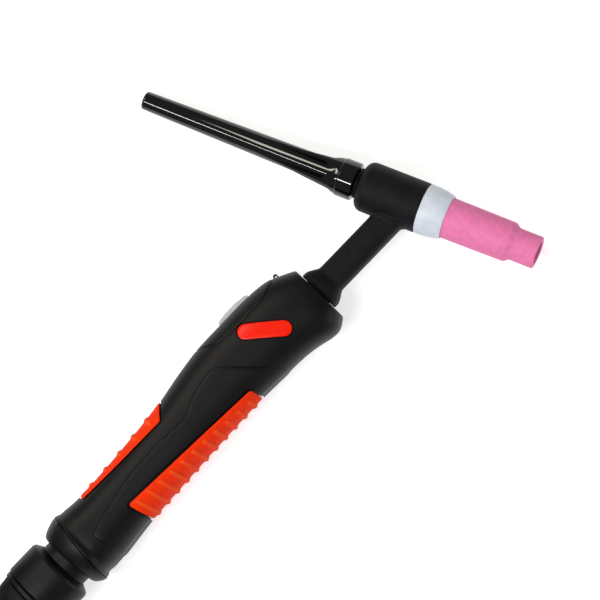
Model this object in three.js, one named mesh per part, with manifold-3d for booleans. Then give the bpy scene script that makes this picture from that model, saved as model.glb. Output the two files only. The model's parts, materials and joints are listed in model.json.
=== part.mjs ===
// Air-cooled TIG welding torch with a trigger handle, a ball-joint cable exit and a four metre lead.
//
// Millimetres, +Z up. The torch lies on its side on the floor, z = 0, with the handle along +X towards the head
// and the trigger side towards +Y. It rests on its rear lock ring, the belly of its handle and the tip of its back
// cap, so it is rolled and pitched a little. Its own pieces, without the lead, are centred over the origin.
//
// The handle is drawn in a frame of its own: X along the handle, 0 in the throat behind the lock ring, Y towards
// the trigger, Z out of the side that faces up. The lead is drawn in the same frame, neither rolled nor pitched.

import * as THREE from 'three';
import { mergeVertices } from 'three/addons/utils/BufferGeometryUtils.js';
import Module from 'manifold-3d';

const wasm = await Module();
wasm.setup();

// ---- Driving dimensions -------------------------------------------------------------------------------------

const GAP = 0.3; // between pieces that touch or fit into each other
const SPLIT_GAP = 0.3; // between the two half shells
const FAR = 300; // past every piece, for cutting tools

// Handle: its upper and lower outline and its half width along X.
const HANDLE_FRONT_X = 173.3;
const HANDLE_TOP = [
  [4, 18.0], [14, 17.8], [25, 16.6], [40, 16.7], [60, 18.0], [75, 19.3], [86, 20.8], [100, 23.3],
  [115, 25.2], [130, 25.5], [148, 25.4], [160, 24.1], [167, 21.0], [HANDLE_FRONT_X, 17.8],
];
const HANDLE_BOTTOM = [
  [4, -17.2], [14, -17.6], [25, -16.8], [43, -14.8], [66, -13.7], [92, -12.8], [117, -12.3], [136, -12.9],
  [147, -13.4], [155, -14.6], [163, -16.8], [168, -16.8], [HANDLE_FRONT_X, -13.4],
];
const HANDLE_HALF_WIDTH = [[4, 18.0], [14, 17.6], [32, 16.6], [60, 15.8], [100, 15.6], [135, 15.8], [155, 15.6],
  [167, 15.0], [HANDLE_FRONT_X, 13.6]];
const HANDLE_FRONT_ROUND = 2;
const SECTION_POWER = 2.4; // 2 is an ellipse, more is squarer
const WALL = 3.2;
const CAVITY_REAR_X = 26;
const CAVITY_FRONT_X = 163;

// Ball joint at the rear of the handle.
const BALL_X = 8.5;
const BALL_R = 15;
const BALL_PLAY = 0.5; // room round the ball in its socket
const BALL_BORE_R = 9.5;
const BALL_FRONT_X = 20;
const RING_R = 19;
const RING_REAR_X = 1.3;
const RING_REAR_R = 14.2;
const RING_FRONT_X = 14;
const RING_SEAM_X = 9.6; // the seam between ring and handle, on the axis
const RING_SEAM_TILT = 8.2; // degrees
const SLEEVE_R = 11;
const CUFF_R = 17.2;
const CUFF_FRONT_X = -2.3;
const CUFF_REAR_X = -20;
const BUSH_FLANGE_R = 16.4;
const BUSH_FLANGE_LENGTH = 2.7;
const BUSH_WALL = 2;
const BOOT_FRONT_R = 15.6;
const BOOT_REAR_R = 9;
const BOOT_REAR_X = -70;
const BOOT_RING_PITCH = 6.4;
const BOOT_RING_DEPTH = 0.8;

// Grip inserts: outlines seen from the side, how deep they are let in and how far they stand proud.
const PALM_OUTLINE = [[119.3, -30], [119.1, -11.5], [117.1, -8.8], [115.1, -8.1], [41.4, -4.3], [40.3, -4.9],
  [38.9, -7.7], [43.0, -17], [43.6, -30]];
const FINGER_OUTLINE = [[27.1, 30], [27.1, 14.3], [75.8, 12.1], [78.1, 12.6], [84.3, 18.5], [84.3, 30]];
const INSERT_DEPTH = 1.8;
const INSERT_PROUD = 0.25;
const RIB_WIDTH = 3.6;
const RIB_INSET = 0.8; // of the ribs' ends, from the insert's edge
const PALM_RIBS = { count: 11, first: 46.7, pitch: 6.75, height: 0.9 };
const FINGER_RIBS = { count: 5, first: 34.5, pitch: 9.9, height: 0.7 };

// Switch module, trigger and micro switch.
const MODULE_OUTLINE = [[113.6, 40], [113.6, 24.6], [115.9, 23.2], [124.3, 17.6], [141.2, 16.9], [149, 16.8],
  [154.2, 17.2], [158.5, 19.2], [160.2, 20.3], [161, 23.4], [161, 40]];
const TRIGGER_X = 140.3;
const TRIGGER_LENGTH = 18.2;
const TRIGGER_HALF_WIDTH = 5.5;
const TRIGGER_TOP_Y = 28.3;
const TRIGGER_CROWN_R = 9; // of its top, seen from the front
const TRIGGER_TRAVEL = 1.8;
const SKIRT_TOP_Y = 19.6;
const SKIRT_THICKNESS = 1.4;
const SKIRT_OVERHANG = 1.5;
const SWITCH_TOP_Y = 15.4;
const SWITCH_HEIGHT = 7.8;
const SWITCH_LENGTH = 20;
const SWITCH_WIDTH = 6.4;
const PLUNGER_R = 1.3;
const PLUNGER_DEPTH = 3; // how far the plunger reaches into the switch
const LEG_THICKNESS = 3.7;
const LEG_WIDTH = 10;
const CLIP_X = 164.7;
const CLIP_HEIGHT = 2.3;

// Badge: a bare pill-shaped plate.
const BADGE_CENTRE = [143, 5.8];
const BADGE_LENGTH = 26.3;
const BADGE_WIDTH = 8;
const BADGE_ANGLE = -41; // degrees from +X
const BADGE_DEPTH = 0.8;
const BADGE_PROUD = 0.3;

// Screws that join the half shells: places on the side view.
const SCREW_PLACES = [[36, 10.5], [97, 16.5], [128, -7.5], [160, -11.3]];
const SCREW_SHANK_R = 1.3;
const SCREW_HEAD_R = 2.8;
const SCREW_HEAD_HEIGHT = 2.2;
const SCREW_HEAD_TOP = -10.5;
const SCREW_TIP = 8;
const BOSS_R = 4.2;

// Torch body: neck and head.
const NECK_Y = 3.1;
const NECK_HEIGHT = 14.4;
const NECK_WIDTH = 12.5;
const NECK_TAIL_X = TRIGGER_X + SWITCH_LENGTH / 2 + LEG_THICKNESS + 2 * GAP; // just ahead of the switch's leg
const COLLAR_REAR_X = HANDLE_FRONT_X + 0.5;
const COLLAR_FRONT_X = COLLAR_REAR_X + 8.7;
const COLLAR_HEIGHT = 21.6;
const COLLAR_WIDTH = 18;
const FLANGE_HEIGHT = 19;
const FLANGE_WIDTH = 17;
const FLANGE_THICKNESS = 3.7;
const HEAD_X = 232.3; // where the neck's axis meets the head's
const HEAD_ANGLE = 68; // degrees from the handle's axis
const HEAD_R = 12.2;
const HEAD_REAR = -22.9; // distances along the head's axis, from the neck's
const HEAD_FRONT = 8.3;
const HEAD_ROUND = 3.2;
const CORE_R = 8.5;
const CORE_BORE_R = 6;
const TUBE_R = 4;
const TUBE_WALL = 1;
const TUBE_REAR_X = 110;
const TUBE_FRONT_X = 221.1;
const NUT_R = 8.1;
const NUT_REAR_X = 104;
const NUT_LENGTH = 16;
const HOSE_R = 5.5;
const HOSE_REAR_X = 24;
const WIRE_R = 1.2;

// Consumables in the head.
const GASKET_LENGTH = 12.9;
const GASKET_FRONT_R = 10.7;
const CUP_LENGTH = 47;
const CUP_SEAT = 1.4; // how deep the cup sits in the gasket
const CUP_REAR_R = 9.85;
const CUP_STEP_R = 9.6;
const CUP_TIP_R = 7.85;
const CUP_TIP_LENGTH = 11.2;
const CUP_STEP_LENGTH = 3.6;
const CUP_BORE_R = 5.7;
const CUP_THREAD_R = 7;
const COLLET_BODY_R = 6.6;
const COLLET_BODY_LENGTH = 42;
const COLLET_BODY_BORE_R = 3;
const COLLET_R = 2.6;
const COLLET_BORE_R = 1.3;
const CAP_LENGTH = 109.5; // from its seat to its tip
const CAP_SEAT = 2.3; // room for the O-ring between the head and the cap
const CAP_RING_R = 9.3;
const CAP_RING_LENGTH = 8;
const CAP_WING_R = 8.9;
const CAP_WING_LENGTH = 42;
const CAP_SHAFT_R = 6.3; // where the wings end at the ring
const CAP_TIP_R = 4.5;
const CAP_STUB_R = 4.7;
const CAP_STUB_LENGTH = 12;
const CAP_BORE_R = 2;
const FLUTE_COUNT = 4;
const FLUTE_WIDTH = 8.4;
const FLUTE_TURN = 16; // degrees
const SEAL_R = 0.85;
const SEAL_RING_R = 6.6;

// Lead, with its coil, plug and two tails.
const LEAD_D = 12;
const COIL_X = -112.3;
const COIL_INNER_R = 47;
const COIL_PITCH = 12.7;
const COIL_TURNS = 8.5;
const COIL_STEPS = 24; // for each turn
const LEAD_SIDES = 8;
const COIL_SIDES = 6;
const STRAP_WIDTH = 20;
const STRAP_THICKNESS = 1;
const GAS_D = 6;
const CONTROL_D = 5;
const PLUG_X = -50;
const PLUG_Y = 191.7;
const PLUG_Z = 12.5;
const PLUG_BOOT_LENGTH = 48;
const PLUG_BOOT_REAR_R = 8.6;
const PLUG_SLEEVE_R = 12.5;
const PLUG_SLEEVE_LENGTH = 34;
const PIN_R = 4.5;
const PIN_LENGTH = 21;
const OUTLET_X = 14; // of the two side outlets, from the plug boot's rear
const OUTLET_LENGTH = 30;
const OUTLET_ANGLE = 32; // degrees
const OUTLET_WALL = 2;
const NIPPLE_R = 3.4;
const UNION_R = 8;
const UNION_LENGTH = 14;
const CONTROL_PLUG_R = 8.5;
const CONTROL_PLUG_LENGTH = 30;
const CONTROL_RING_LENGTH = 13;
const CONTROL_INSERT_LENGTH = 10;

// ---- Geometry helpers ---------------------------------------------------------------------------------------

const radians = THREE.MathUtils.degToRad;

/** A closed geometry with shared vertices, no slivers and its faces pointing out. */
function tidy(source) {
  let geometry = source.index ? source.clone() : mergeVertices(source);
  for (const name of Object.keys(geometry.attributes)) {
    if (name !== 'position') {
      geometry.deleteAttribute(name);
    }
  }
  geometry = mergeVertices(geometry, 1e-4);
  const index = geometry.index.array;
  const position = geometry.attributes.position;
  const kept = [];
  let volume = 0;
  const [a, b, c] = [new THREE.Vector3(), new THREE.Vector3(), new THREE.Vector3()];
  for (let i = 0; i < index.length; i += 3) {
    const [p, q, r] = [index[i], index[i + 1], index[i + 2]];
    if (p === q || q === r || r === p) {
      continue;
    }
    kept.push(p, q, r);
    a.fromBufferAttribute(position, p);
    b.fromBufferAttribute(position, q);
    c.fromBufferAttribute(position, r);
    volume += a.dot(b.cross(c));
  }
  geometry.setIndex(volume < 0 ? kept.reverse() : kept);
  return geometry;
}

/** A solid that can be cut and joined. */
function solid(geometry) {
  const closed = tidy(geometry);
  return new wasm.Manifold(new wasm.Mesh({
    numProp: 3,
    vertProperties: new Float32Array(closed.attributes.position.array),
    triVerts: new Uint32Array(closed.index.array),
  }));
}

/** The geometry of a solid. */
function shapeOf(body) {
  const mesh = body.getMesh();
  const geometry = new THREE.BufferGeometry();
  geometry.setAttribute('position', new THREE.BufferAttribute(mesh.vertProperties, 3));
  geometry.setIndex(new THREE.BufferAttribute(mesh.triVerts, 1));
  return geometry;
}

const cutAll = (body, tools) => tools.reduce((rest, tool) => rest.subtract(tool), body);
const joinAll = (bodies) => bodies.reduce((whole, body) => whole.add(body));

/** A turned piece on the X axis. The profile holds [x, radius] and starts and ends on the axis, or closes. */
function turned(profile, segments = 24) {
  const points = profile.map(([x, r]) => new THREE.Vector2(r, x));
  return new THREE.LatheGeometry(points, segments).rotateZ(-Math.PI / 2);
}

/** A tube or ring on the X axis, from its outer profile and one bore radius. */
function sleeve(outer, bore, segments) {
  const first = outer[0];
  const last = outer[outer.length - 1];
  return turned([[first[0], bore], ...outer, [last[0], bore], [first[0], bore]], segments);
}

function box(x0, x1, y0, y1, z0, z1) {
  const geometry = new THREE.BoxGeometry(x1 - x0, y1 - y0, z1 - z0);
  return geometry.translate((x0 + x1) / 2, (y0 + y1) / 2, (z0 + z1) / 2);
}

/** A cylinder along Z. */
function post(x, y, radius, z0, z1, segments = 16) {
  const geometry = new THREE.CylinderGeometry(radius, radius, z1 - z0, segments);
  return geometry.rotateX(Math.PI / 2).translate(x, y, (z0 + z1) / 2);
}

/** A side-view outline, extruded through the handle from z0 to z1. */
function prism(outline, z0 = -30, z1 = 30) {
  const shape = new THREE.Shape(outline.map(([x, y]) => new THREE.Vector2(x, y)));
  const geometry = new THREE.ExtrudeGeometry(shape, { depth: z1 - z0, bevelEnabled: false });
  return geometry.translate(0, 0, z0);
}

/** An outline moved outwards by a distance, corner by corner. */
function grown(outline, distance) {
  const turn = Math.sign(THREE.ShapeUtils.area(outline.map(([x, y]) => new THREE.Vector2(x, y))));
  return outline.map(([x, y], i) => {
    const [px, py] = outline.at(i - 1);
    const [nx, ny] = outline[(i + 1) % outline.length];
    const before = new THREE.Vector2(y - py, px - x).normalize();
    const after = new THREE.Vector2(ny - y, x - nx).normalize();
    const corner = before.clone().add(after).normalize();
    const reach = (turn * distance) / Math.max(corner.dot(after), 0.5);
    return [x + corner.x * reach, y + corner.y * reach];
  });
}

/** A pill-shaped outline. */
function pill([cx, cy], length, width, angle, steps = 6) {
  const points = [];
  for (const side of [1, -1]) {
    for (let i = 0; i <= steps; i++) {
      const turn = (side > 0 ? -Math.PI / 2 : Math.PI / 2) + (Math.PI * i) / steps;
      const x = (side * (length - width)) / 2 + (width / 2) * Math.cos(turn);
      const y = (width / 2) * Math.sin(turn);
      const a = radians(angle);
      points.push([cx + x * Math.cos(a) - y * Math.sin(a), cy + x * Math.sin(a) + y * Math.cos(a)]);
    }
  }
  return points;
}

/** A smooth curve through [x, value] pairs. */
function smooth(pairs) {
  const slope = pairs.map(([x, v], i) => {
    const [px, pv] = pairs[Math.max(i - 1, 0)];
    const [nx, nv] = pairs[Math.min(i + 1, pairs.length - 1)];
    return (nv - pv) / (nx - px);
  });
  return (at) => {
    const x = THREE.MathUtils.clamp(at, pairs[0][0], pairs.at(-1)[0]);
    const i = Math.max(1, pairs.findIndex(([px]) => px >= x));
    const [[x0, v0], [x1, v1]] = [pairs[i - 1], pairs[i]];
    const [w, t] = [x1 - x0, (x - x0) / (x1 - x0)];
    return v0 * (1 + 2 * t) * (1 - t) ** 2 + v1 * t * t * (3 - 2 * t)
      + slope[i - 1] * w * t * (1 - t) ** 2 - slope[i] * w * t * t * (1 - t);
  };
}

/** A closed ring of points, squarer than an ellipse, in the plane at x. */
function section(x, centre, halfHeight, halfWidth, power = SECTION_POWER, count = 20) {
  return Array.from({ length: count }, (_, i) => {
    const turn = (2 * Math.PI * (i + 0.5)) / count;
    const [c, s] = [Math.cos(turn), Math.sin(turn)];
    const y = Math.sign(c) * Math.abs(c) ** (2 / power) * halfHeight;
    const z = Math.sign(s) * Math.abs(s) ** (2 / power) * halfWidth;
    return [x, centre + y, z];
  });
}

/** A closed skin over sections of equal count, with flat ends. */
function loft(sections) {
  const count = sections[0].length;
  const positions = sections.flat(2);
  const index = [];
  for (let s = 0; s + 1 < sections.length; s++) {
    for (let i = 0; i < count; i++) {
      const [a, b] = [s * count + i, s * count + ((i + 1) % count)];
      index.push(a, b, a + count, b, b + count, a + count);
    }
  }
  const last = (sections.length - 1) * count;
  for (let i = 1; i + 1 < count; i++) {
    index.push(0, i + 1, i, last, last + i, last + i + 1);
  }
  const geometry = new THREE.BufferGeometry();
  geometry.setAttribute('position', new THREE.Float32BufferAttribute(positions, 3));
  geometry.setIndex(index);
  return geometry;
}

/** A round tube along points, one ring of vertices at each point, held level so that a corner points down. */
function tube(points, radius, sides) {
  const path = points.map((p) => new THREE.Vector3(...p));
  const up = new THREE.Vector3(0, 0, 1);
  const rings = path.map((point, i) => {
    const ahead = path[Math.min(i + 1, path.length - 1)];
    const behind = path[Math.max(i - 1, 0)];
    const along = ahead.clone().sub(behind).normalize();
    const side = new THREE.Vector3().crossVectors(up, along).normalize();
    const over = new THREE.Vector3().crossVectors(along, side);
    return Array.from({ length: sides }, (_, k) => {
      const turn = Math.PI / 2 + (2 * Math.PI * k) / sides;
      const offset = side.clone().multiplyScalar(radius * Math.cos(turn));
      return point.clone().add(offset).addScaledVector(over, radius * Math.sin(turn)).toArray();
    });
  });
  return loft(rings);
}

/** Even points along a smooth curve through a few chosen ones. */
function route(points, step) {
  const curve = new THREE.CatmullRomCurve3(points.map((p) => new THREE.Vector3(...p)), false, 'centripetal');
  const count = Math.max(4, Math.round(curve.getLength() / step));
  return curve.getSpacedPoints(count).map((p) => p.toArray());
}

const lengthOf = (points) => points.slice(1).reduce(
  (sum, p, i) => sum + new THREE.Vector3(...p).distanceTo(new THREE.Vector3(...points[i])), 0);

// ---- Materials ----------------------------------------------------------------------------------------------

const finish = (color, roughness, metalness = 0) => new THREE.MeshStandardMaterial({ color, roughness, metalness });
const softBlack = finish(0x1d1d20, 0.62);
const rubberBlack = finish(0x17171a, 0.75);
const glossBlack = finish(0x060607, 0.12);
const gripOrange = finish(0xff3c00, 0.5);
const badgeOrange = finish(0xff2a00, 0.35);
const buttonGrey = finish(0x9ea0a6, 0.45);
const gasketWhite = finish(0xd9e0e6, 0.4);
const cupPink = finish(0xf080b4, 0.55);
const copper = finish(0xb87348, 0.3, 1);
const brass = finish(0xc9a24b, 0.3, 1);
const steel = finish(0xb8bcc2, 0.3, 1);
const plasticGrey = finish(0x4a4c50, 0.5);

const torch = new THREE.Group();
const tail = new THREE.Group();
const head = new THREE.Group();
torch.add(head);
head.position.set(HEAD_X, NECK_Y, 0);
head.rotation.z = -radians(HEAD_ANGLE);

function addPiece(group, name, geometry, material) {
  const mesh = new THREE.Mesh(tidy(geometry), material);
  mesh.name = name;
  group.add(mesh);
  return mesh;
}

// ---- Handle ---------------------------------------------------------------------------------------------------

const topAt = smooth(HANDLE_TOP);
const bottomAt = smooth(HANDLE_BOTTOM);
const halfWidthAt = smooth(HANDLE_HALF_WIDTH);

/** One cross-section of the handle, its surface moved outwards by an offset. */
function handleSection(x, offset) {
  const into = Math.max(0, 1 - (HANDLE_FRONT_X - x) / HANDLE_FRONT_ROUND);
  const inset = HANDLE_FRONT_ROUND * (1 - Math.sqrt(1 - into * into));
  const [top, bottom] = [topAt(x), bottomAt(x)];
  return section(x, (top + bottom) / 2, (top - bottom) / 2 + offset - inset, halfWidthAt(x) + offset - inset);
}

/** The handle's whole form between two places, its surface moved outwards by an offset. */
function handleForm(offset, from = HANDLE_TOP[0][0], to = HANDLE_FRONT_X) {
  const fine = [HANDLE_FRONT_X - 5, HANDLE_FRONT_X - 1.4, HANDLE_FRONT_X - 0.6, HANDLE_FRONT_X - 0.1];
  const steps = Math.round((to - from) / 11);
  const places = Array.from({ length: steps + 1 }, (_, i) => from + ((to - from) * i) / steps);
  const between = (x) => x > from + 0.05 && x < to - 0.05;
  const xs = [...places.filter((x) => x < fine[0] || x === to), ...fine.filter(between)];
  xs.sort((a, b) => a - b);
  return solid(loft(xs.map((x) => handleSection(x, offset))));
}

const outer = handleForm(0);
const cavity = handleForm(-WALL, CAVITY_REAR_X, CAVITY_FRONT_X);

/** A piece of the handle's skin inside an outline. */
function skin(outline, proud, depth, z0 = -30, z1 = 30) {
  return handleForm(proud).intersect(solid(prism(outline, z0, z1))).subtract(handleForm(-depth));
}

/** What is cut from the handle to let such a piece in. */
function pocket(outline, depth, z0 = -30, z1 = 30) {
  return solid(prism(grown(outline, GAP), z0, z1)).subtract(handleForm(-depth - GAP));
}

/** Everything in front of the slanted seam behind the handle, moved forwards by an offset. */
function aheadOfSeam(offset) {
  const block = box(0, FAR, -FAR, FAR, -FAR, FAR).rotateZ(radians(-RING_SEAM_TILT));
  return solid(block.translate(RING_SEAM_X + offset, 0, 0));
}

function ballSolid(radius, detail) {
  return solid(new THREE.SphereGeometry(radius, detail, detail / 2).rotateZ(Math.PI / 2).translate(BALL_X, 0, 0));
}

/** The neck's section, widened by an amount on every side. */
const neckSection = (x, height, width, extra = 0) => section(
  x, NECK_Y, height / 2 + extra, width / 2 + extra, 3, 16);

function makeShells() {
  const bosses = SCREW_PLACES.map(([x, y]) => solid(post(x, y, BOSS_R, -30, 30)).intersect(handleForm(-0.5)));
  const hollow = outer.subtract(cavity);
  const neckHole = solid(loft([CAVITY_FRONT_X - 1, HANDLE_FRONT_X + 1].map(
    (x) => neckSection(x, NECK_HEIGHT, NECK_WIDTH, GAP))));
  const hoseBore = solid(turned([[BALL_X, 0], [BALL_X, BALL_BORE_R + 1.5], [CAVITY_REAR_X + 1, BALL_BORE_R + 1.5],
    [CAVITY_REAR_X + 1, 0]]));
  const screwHoles = SCREW_PLACES.flatMap(([x, y]) => [
    solid(post(x, y, SCREW_SHANK_R + GAP, -30, SCREW_TIP + 1)),
    solid(post(x, y, SCREW_HEAD_R + GAP, -30, SCREW_HEAD_TOP + SCREW_HEAD_HEIGHT + GAP)),
  ]);
  const whole = cutAll(joinAll([hollow, ...bosses]), [
    solid(prism(grown(MODULE_OUTLINE, GAP))),
    pocket(PALM_OUTLINE, INSERT_DEPTH),
    pocket(FINGER_OUTLINE, INSERT_DEPTH),
    pocket(pill(BADGE_CENTRE, BADGE_LENGTH, BADGE_WIDTH, BADGE_ANGLE), BADGE_DEPTH, 0, 30),
    ballSolid(BALL_R + BALL_PLAY, 20),
    hoseBore,
    neckHole,
    ...screwHoles,
  ]).intersect(aheadOfSeam(GAP));
  for (const [name, side] of [['handle_shell_upper', 1], ['handle_shell_lower', -1]]) {
    const half = side > 0 ? box(-FAR, FAR, -FAR, FAR, SPLIT_GAP / 2, FAR)
      : box(-FAR, FAR, -FAR, FAR, -FAR, -SPLIT_GAP / 2);
    addPiece(torch, name, shapeOf(whole.intersect(solid(half))), softBlack);
  }
}

function makeLockRing() {
  const rise = RING_R - RING_REAR_R;
  const crown = [0.1, 0.25, 0.48, 0.7, 0.85].map((share) => [
    RING_REAR_X + (RING_FRONT_X - RING_REAR_X) * share,
    RING_REAR_R + rise * Math.sin((Math.PI / 2) * (share / 0.85)) ** 0.7,
  ]);
  const body = solid(turned([[RING_REAR_X, 0], [RING_REAR_X, RING_REAR_R], ...crown, [RING_FRONT_X, RING_R],
    [RING_FRONT_X, 0]], 24));
  const inside = solid(turned([[0, 0], [0, SLEEVE_R + 2.4], [BALL_X, SLEEVE_R + 2.4], [BALL_X, 0]], 24));
  addPiece(torch, 'rear_lock_ring',
    shapeOf(cutAll(body, [ballSolid(BALL_R + BALL_PLAY, 20), inside, aheadOfSeam(0)])), softBlack);
}

/** A grip insert with ribs: the skin is proud over each rib and lower between them. */
function makeGrip(name, outline, ribs, side) {
  const low = skin(outline, INSERT_PROUD, INSERT_DEPTH);
  const high = skin(grown(outline, -RIB_INSET), ribs.height, INSERT_DEPTH);
  const bars = Array.from({ length: ribs.count }, (_, i) => {
    const x = ribs.first + i * ribs.pitch;
    return solid(box(x - RIB_WIDTH / 2, x + RIB_WIDTH / 2, side > 0 ? 0 : -40, side > 0 ? 40 : 0, -30, 30));
  });
  addPiece(torch, name, shapeOf(low.add(high.intersect(joinAll(bars)))), gripOrange);
}

function makeModule() {
  const half = TRIGGER_LENGTH / 2;
  const [slotX, slotZ] = [half + 0.4, TRIGGER_HALF_WIDTH + 0.4];
  const legFrom = SWITCH_LENGTH / 2 + GAP;
  const legs = [-1, 1].map((end) => {
    const near = TRIGGER_X + end * legFrom;
    const far = near + end * LEG_THICKNESS;
    return solid(box(Math.min(near, far), Math.max(near, far), SWITCH_TOP_Y - SWITCH_HEIGHT + 1, FAR,
      -LEG_WIDTH / 2, LEG_WIDTH / 2)).intersect(outer);
  });
  const cover = outer.subtract(cavity).intersect(solid(prism(MODULE_OUTLINE)));
  const slot = solid(box(TRIGGER_X - slotX, TRIGGER_X + slotX, SWITCH_TOP_Y - SWITCH_HEIGHT, FAR, -slotZ, slotZ));
  addPiece(torch, 'switch_module', shapeOf(joinAll([cover, ...legs]).subtract(slot)), softBlack);
}

function makeClip() {
  const arch = new THREE.Shape();
  arch.absarc(0, 0, 3, 0, Math.PI);
  arch.absarc(0, 0, 1.9, Math.PI, 0, true);
  const geometry = new THREE.ExtrudeGeometry(arch, { depth: 1.3, bevelEnabled: false, curveSegments: 8 });
  geometry.scale(1, CLIP_HEIGHT / 3, 1).rotateY(Math.PI / 2);
  geometry.translate(CLIP_X, topAt(CLIP_X) + 0.15, 0);
  addPiece(torch, 'module_clip', shapeOf(solid(geometry).subtract(handleForm(0.1))), steel);
}

function makeTrigger() {
  const half = TRIGGER_LENGTH / 2;
  // Each step of the crown: how far from the trigger's end, and how far below its top.
  const crown = (end, steps) => steps.map(([inwards, below]) => [
    TRIGGER_X + end * (half - inwards), TRIGGER_TOP_Y - below]);
  const foot = TRIGGER_TOP_Y - SKIRT_TOP_Y + 0.2;
  const rear = crown(-1, [[0, foot], [0, 3.2], [0.8, 2.2], [2.4, 1.2], [4.4, 0.1]]);
  const front = crown(1, [[0, foot], [0, 3.8], [0.8, 2.8], [2.4, 1.7], [4.4, 0.3]]);
  const stem = solid(prism([...rear, ...front.reverse()], -TRIGGER_HALF_WIDTH, TRIGGER_HALF_WIDTH));
  const crownY = TRIGGER_TOP_Y - TRIGGER_CROWN_R;
  const round = solid(new THREE.CylinderGeometry(TRIGGER_CROWN_R, TRIGGER_CROWN_R, 2 * TRIGGER_LENGTH, 40)
    .rotateZ(Math.PI / 2).translate(TRIGGER_X, crownY, 0));
  const deep = solid(box(TRIGGER_X - TRIGGER_LENGTH, TRIGGER_X + TRIGGER_LENGTH, 0, crownY, -30, 30));
  const skirtZ = TRIGGER_HALF_WIDTH + SKIRT_OVERHANG;
  const skirt = solid(box(TRIGGER_X - half, TRIGGER_X + half, SKIRT_TOP_Y - SKIRT_THICKNESS, SKIRT_TOP_Y,
    -skirtZ, skirtZ));
  addPiece(torch, 'trigger_button', shapeOf(stem.intersect(round.add(deep)).add(skirt)), buttonGrey);

  const plungerTop = SKIRT_TOP_Y - SKIRT_THICKNESS - GAP;
  const plungerFoot = SWITCH_TOP_Y - PLUNGER_DEPTH;
  const rod = new THREE.CylinderGeometry(PLUNGER_R, PLUNGER_R, plungerTop - plungerFoot, 12);
  addPiece(torch, 'switch_plunger', rod.translate(TRIGGER_X, (plungerTop + plungerFoot) / 2, 0), buttonGrey);

  const holeDepth = PLUNGER_DEPTH + TRIGGER_TRAVEL + GAP;
  const hole = new THREE.CylinderGeometry(PLUNGER_R + GAP, PLUNGER_R + GAP, holeDepth * 2, 12);
  hole.translate(TRIGGER_X, SWITCH_TOP_Y, 0);
  const reach = SWITCH_LENGTH / 2;
  const block = solid(box(TRIGGER_X - reach, TRIGGER_X + reach, SWITCH_TOP_Y - SWITCH_HEIGHT, SWITCH_TOP_Y,
    -SWITCH_WIDTH / 2, SWITCH_WIDTH / 2));
  addPiece(torch, 'micro_switch', shapeOf(block.subtract(solid(hole))), plasticGrey);
}

function makeBadge() {
  const outline = pill(BADGE_CENTRE, BADGE_LENGTH, BADGE_WIDTH, BADGE_ANGLE);
  addPiece(torch, 'badge_plate', shapeOf(skin(outline, BADGE_PROUD, BADGE_DEPTH, 0, 30)), badgeOrange);
}

function makeScrews() {
  SCREW_PLACES.forEach(([x, y], i) => {
    const seat = SCREW_HEAD_TOP + SCREW_HEAD_HEIGHT;
    const profile = [[SCREW_HEAD_TOP, 0], [SCREW_HEAD_TOP, SCREW_HEAD_R], [seat, SCREW_HEAD_R],
      [seat, SCREW_SHANK_R], [SCREW_TIP - 1, SCREW_SHANK_R], [SCREW_TIP, 0]];
    const screw = turned(profile, 12).rotateY(-Math.PI / 2).translate(x, y, 0);
    addPiece(torch, `shell_screw_${i + 1}`, screw, steel);
  });
}

// ---- Torch body, in the handle's frame ------------------------------------------------------------------------

/** Moves a piece that was made on the head's axis into the handle's frame. */
const onHead = (geometry) => geometry.rotateZ(-radians(HEAD_ANGLE)).translate(HEAD_X, NECK_Y, 0);

function makeTorchBody() {
  const collarLength = COLLAR_FRONT_X - COLLAR_REAR_X;
  const collarX = (share) => COLLAR_REAR_X + collarLength * share;
  const between = (share, low, high) => low + (high - low) * share;
  const neck = loft([[NECK_TAIL_X, NECK_HEIGHT, NECK_WIDTH], [COLLAR_REAR_X, NECK_HEIGHT, NECK_WIDTH],
    [HEAD_X - 2, NECK_HEIGHT, NECK_WIDTH]].map(([x, h, w]) => neckSection(x, h, w)));
  const collar = loft([[0, 1], [0.3, 0.92], [0.66, 0.45], [1, 0]].map(([share, flare]) => neckSection(
    collarX(share), between(flare, NECK_HEIGHT, COLLAR_HEIGHT), between(flare, NECK_WIDTH, COLLAR_WIDTH))));
  const flangeFront = CAVITY_FRONT_X - GAP;
  const flange = loft([flangeFront - FLANGE_THICKNESS, flangeFront].map(
    (x) => neckSection(x, FLANGE_HEIGHT, FLANGE_WIDTH)));
  const barrel = turned([[HEAD_REAR, 0], [HEAD_REAR, HEAD_R - HEAD_ROUND], [HEAD_REAR + 0.7, HEAD_R - 1.5],
    [HEAD_REAR + 2, HEAD_R - 0.5], [HEAD_REAR + 4.4, HEAD_R - 0.1], [HEAD_FRONT, HEAD_R], [HEAD_FRONT, 0]], 24);
  const coreBore = turned([[HEAD_REAR - 1, 0], [HEAD_REAR - 1, CORE_R + GAP], [HEAD_FRONT + 1, CORE_R + GAP],
    [HEAD_FRONT + 1, 0]], 20);
  const tubeBore = turned([[NECK_TAIL_X - 1, 0], [NECK_TAIL_X - 1, TUBE_R + GAP], [HEAD_X, TUBE_R + GAP],
    [HEAD_X, 0]], 16).translate(0, NECK_Y, 0);
  const body = joinAll([neck, collar, flange, onHead(barrel)].map(solid));
  addPiece(torch, 'torch_body_cover', shapeOf(cutAll(body, [onHead(coreBore), tubeBore].map(solid))), rubberBlack);
}

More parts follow.
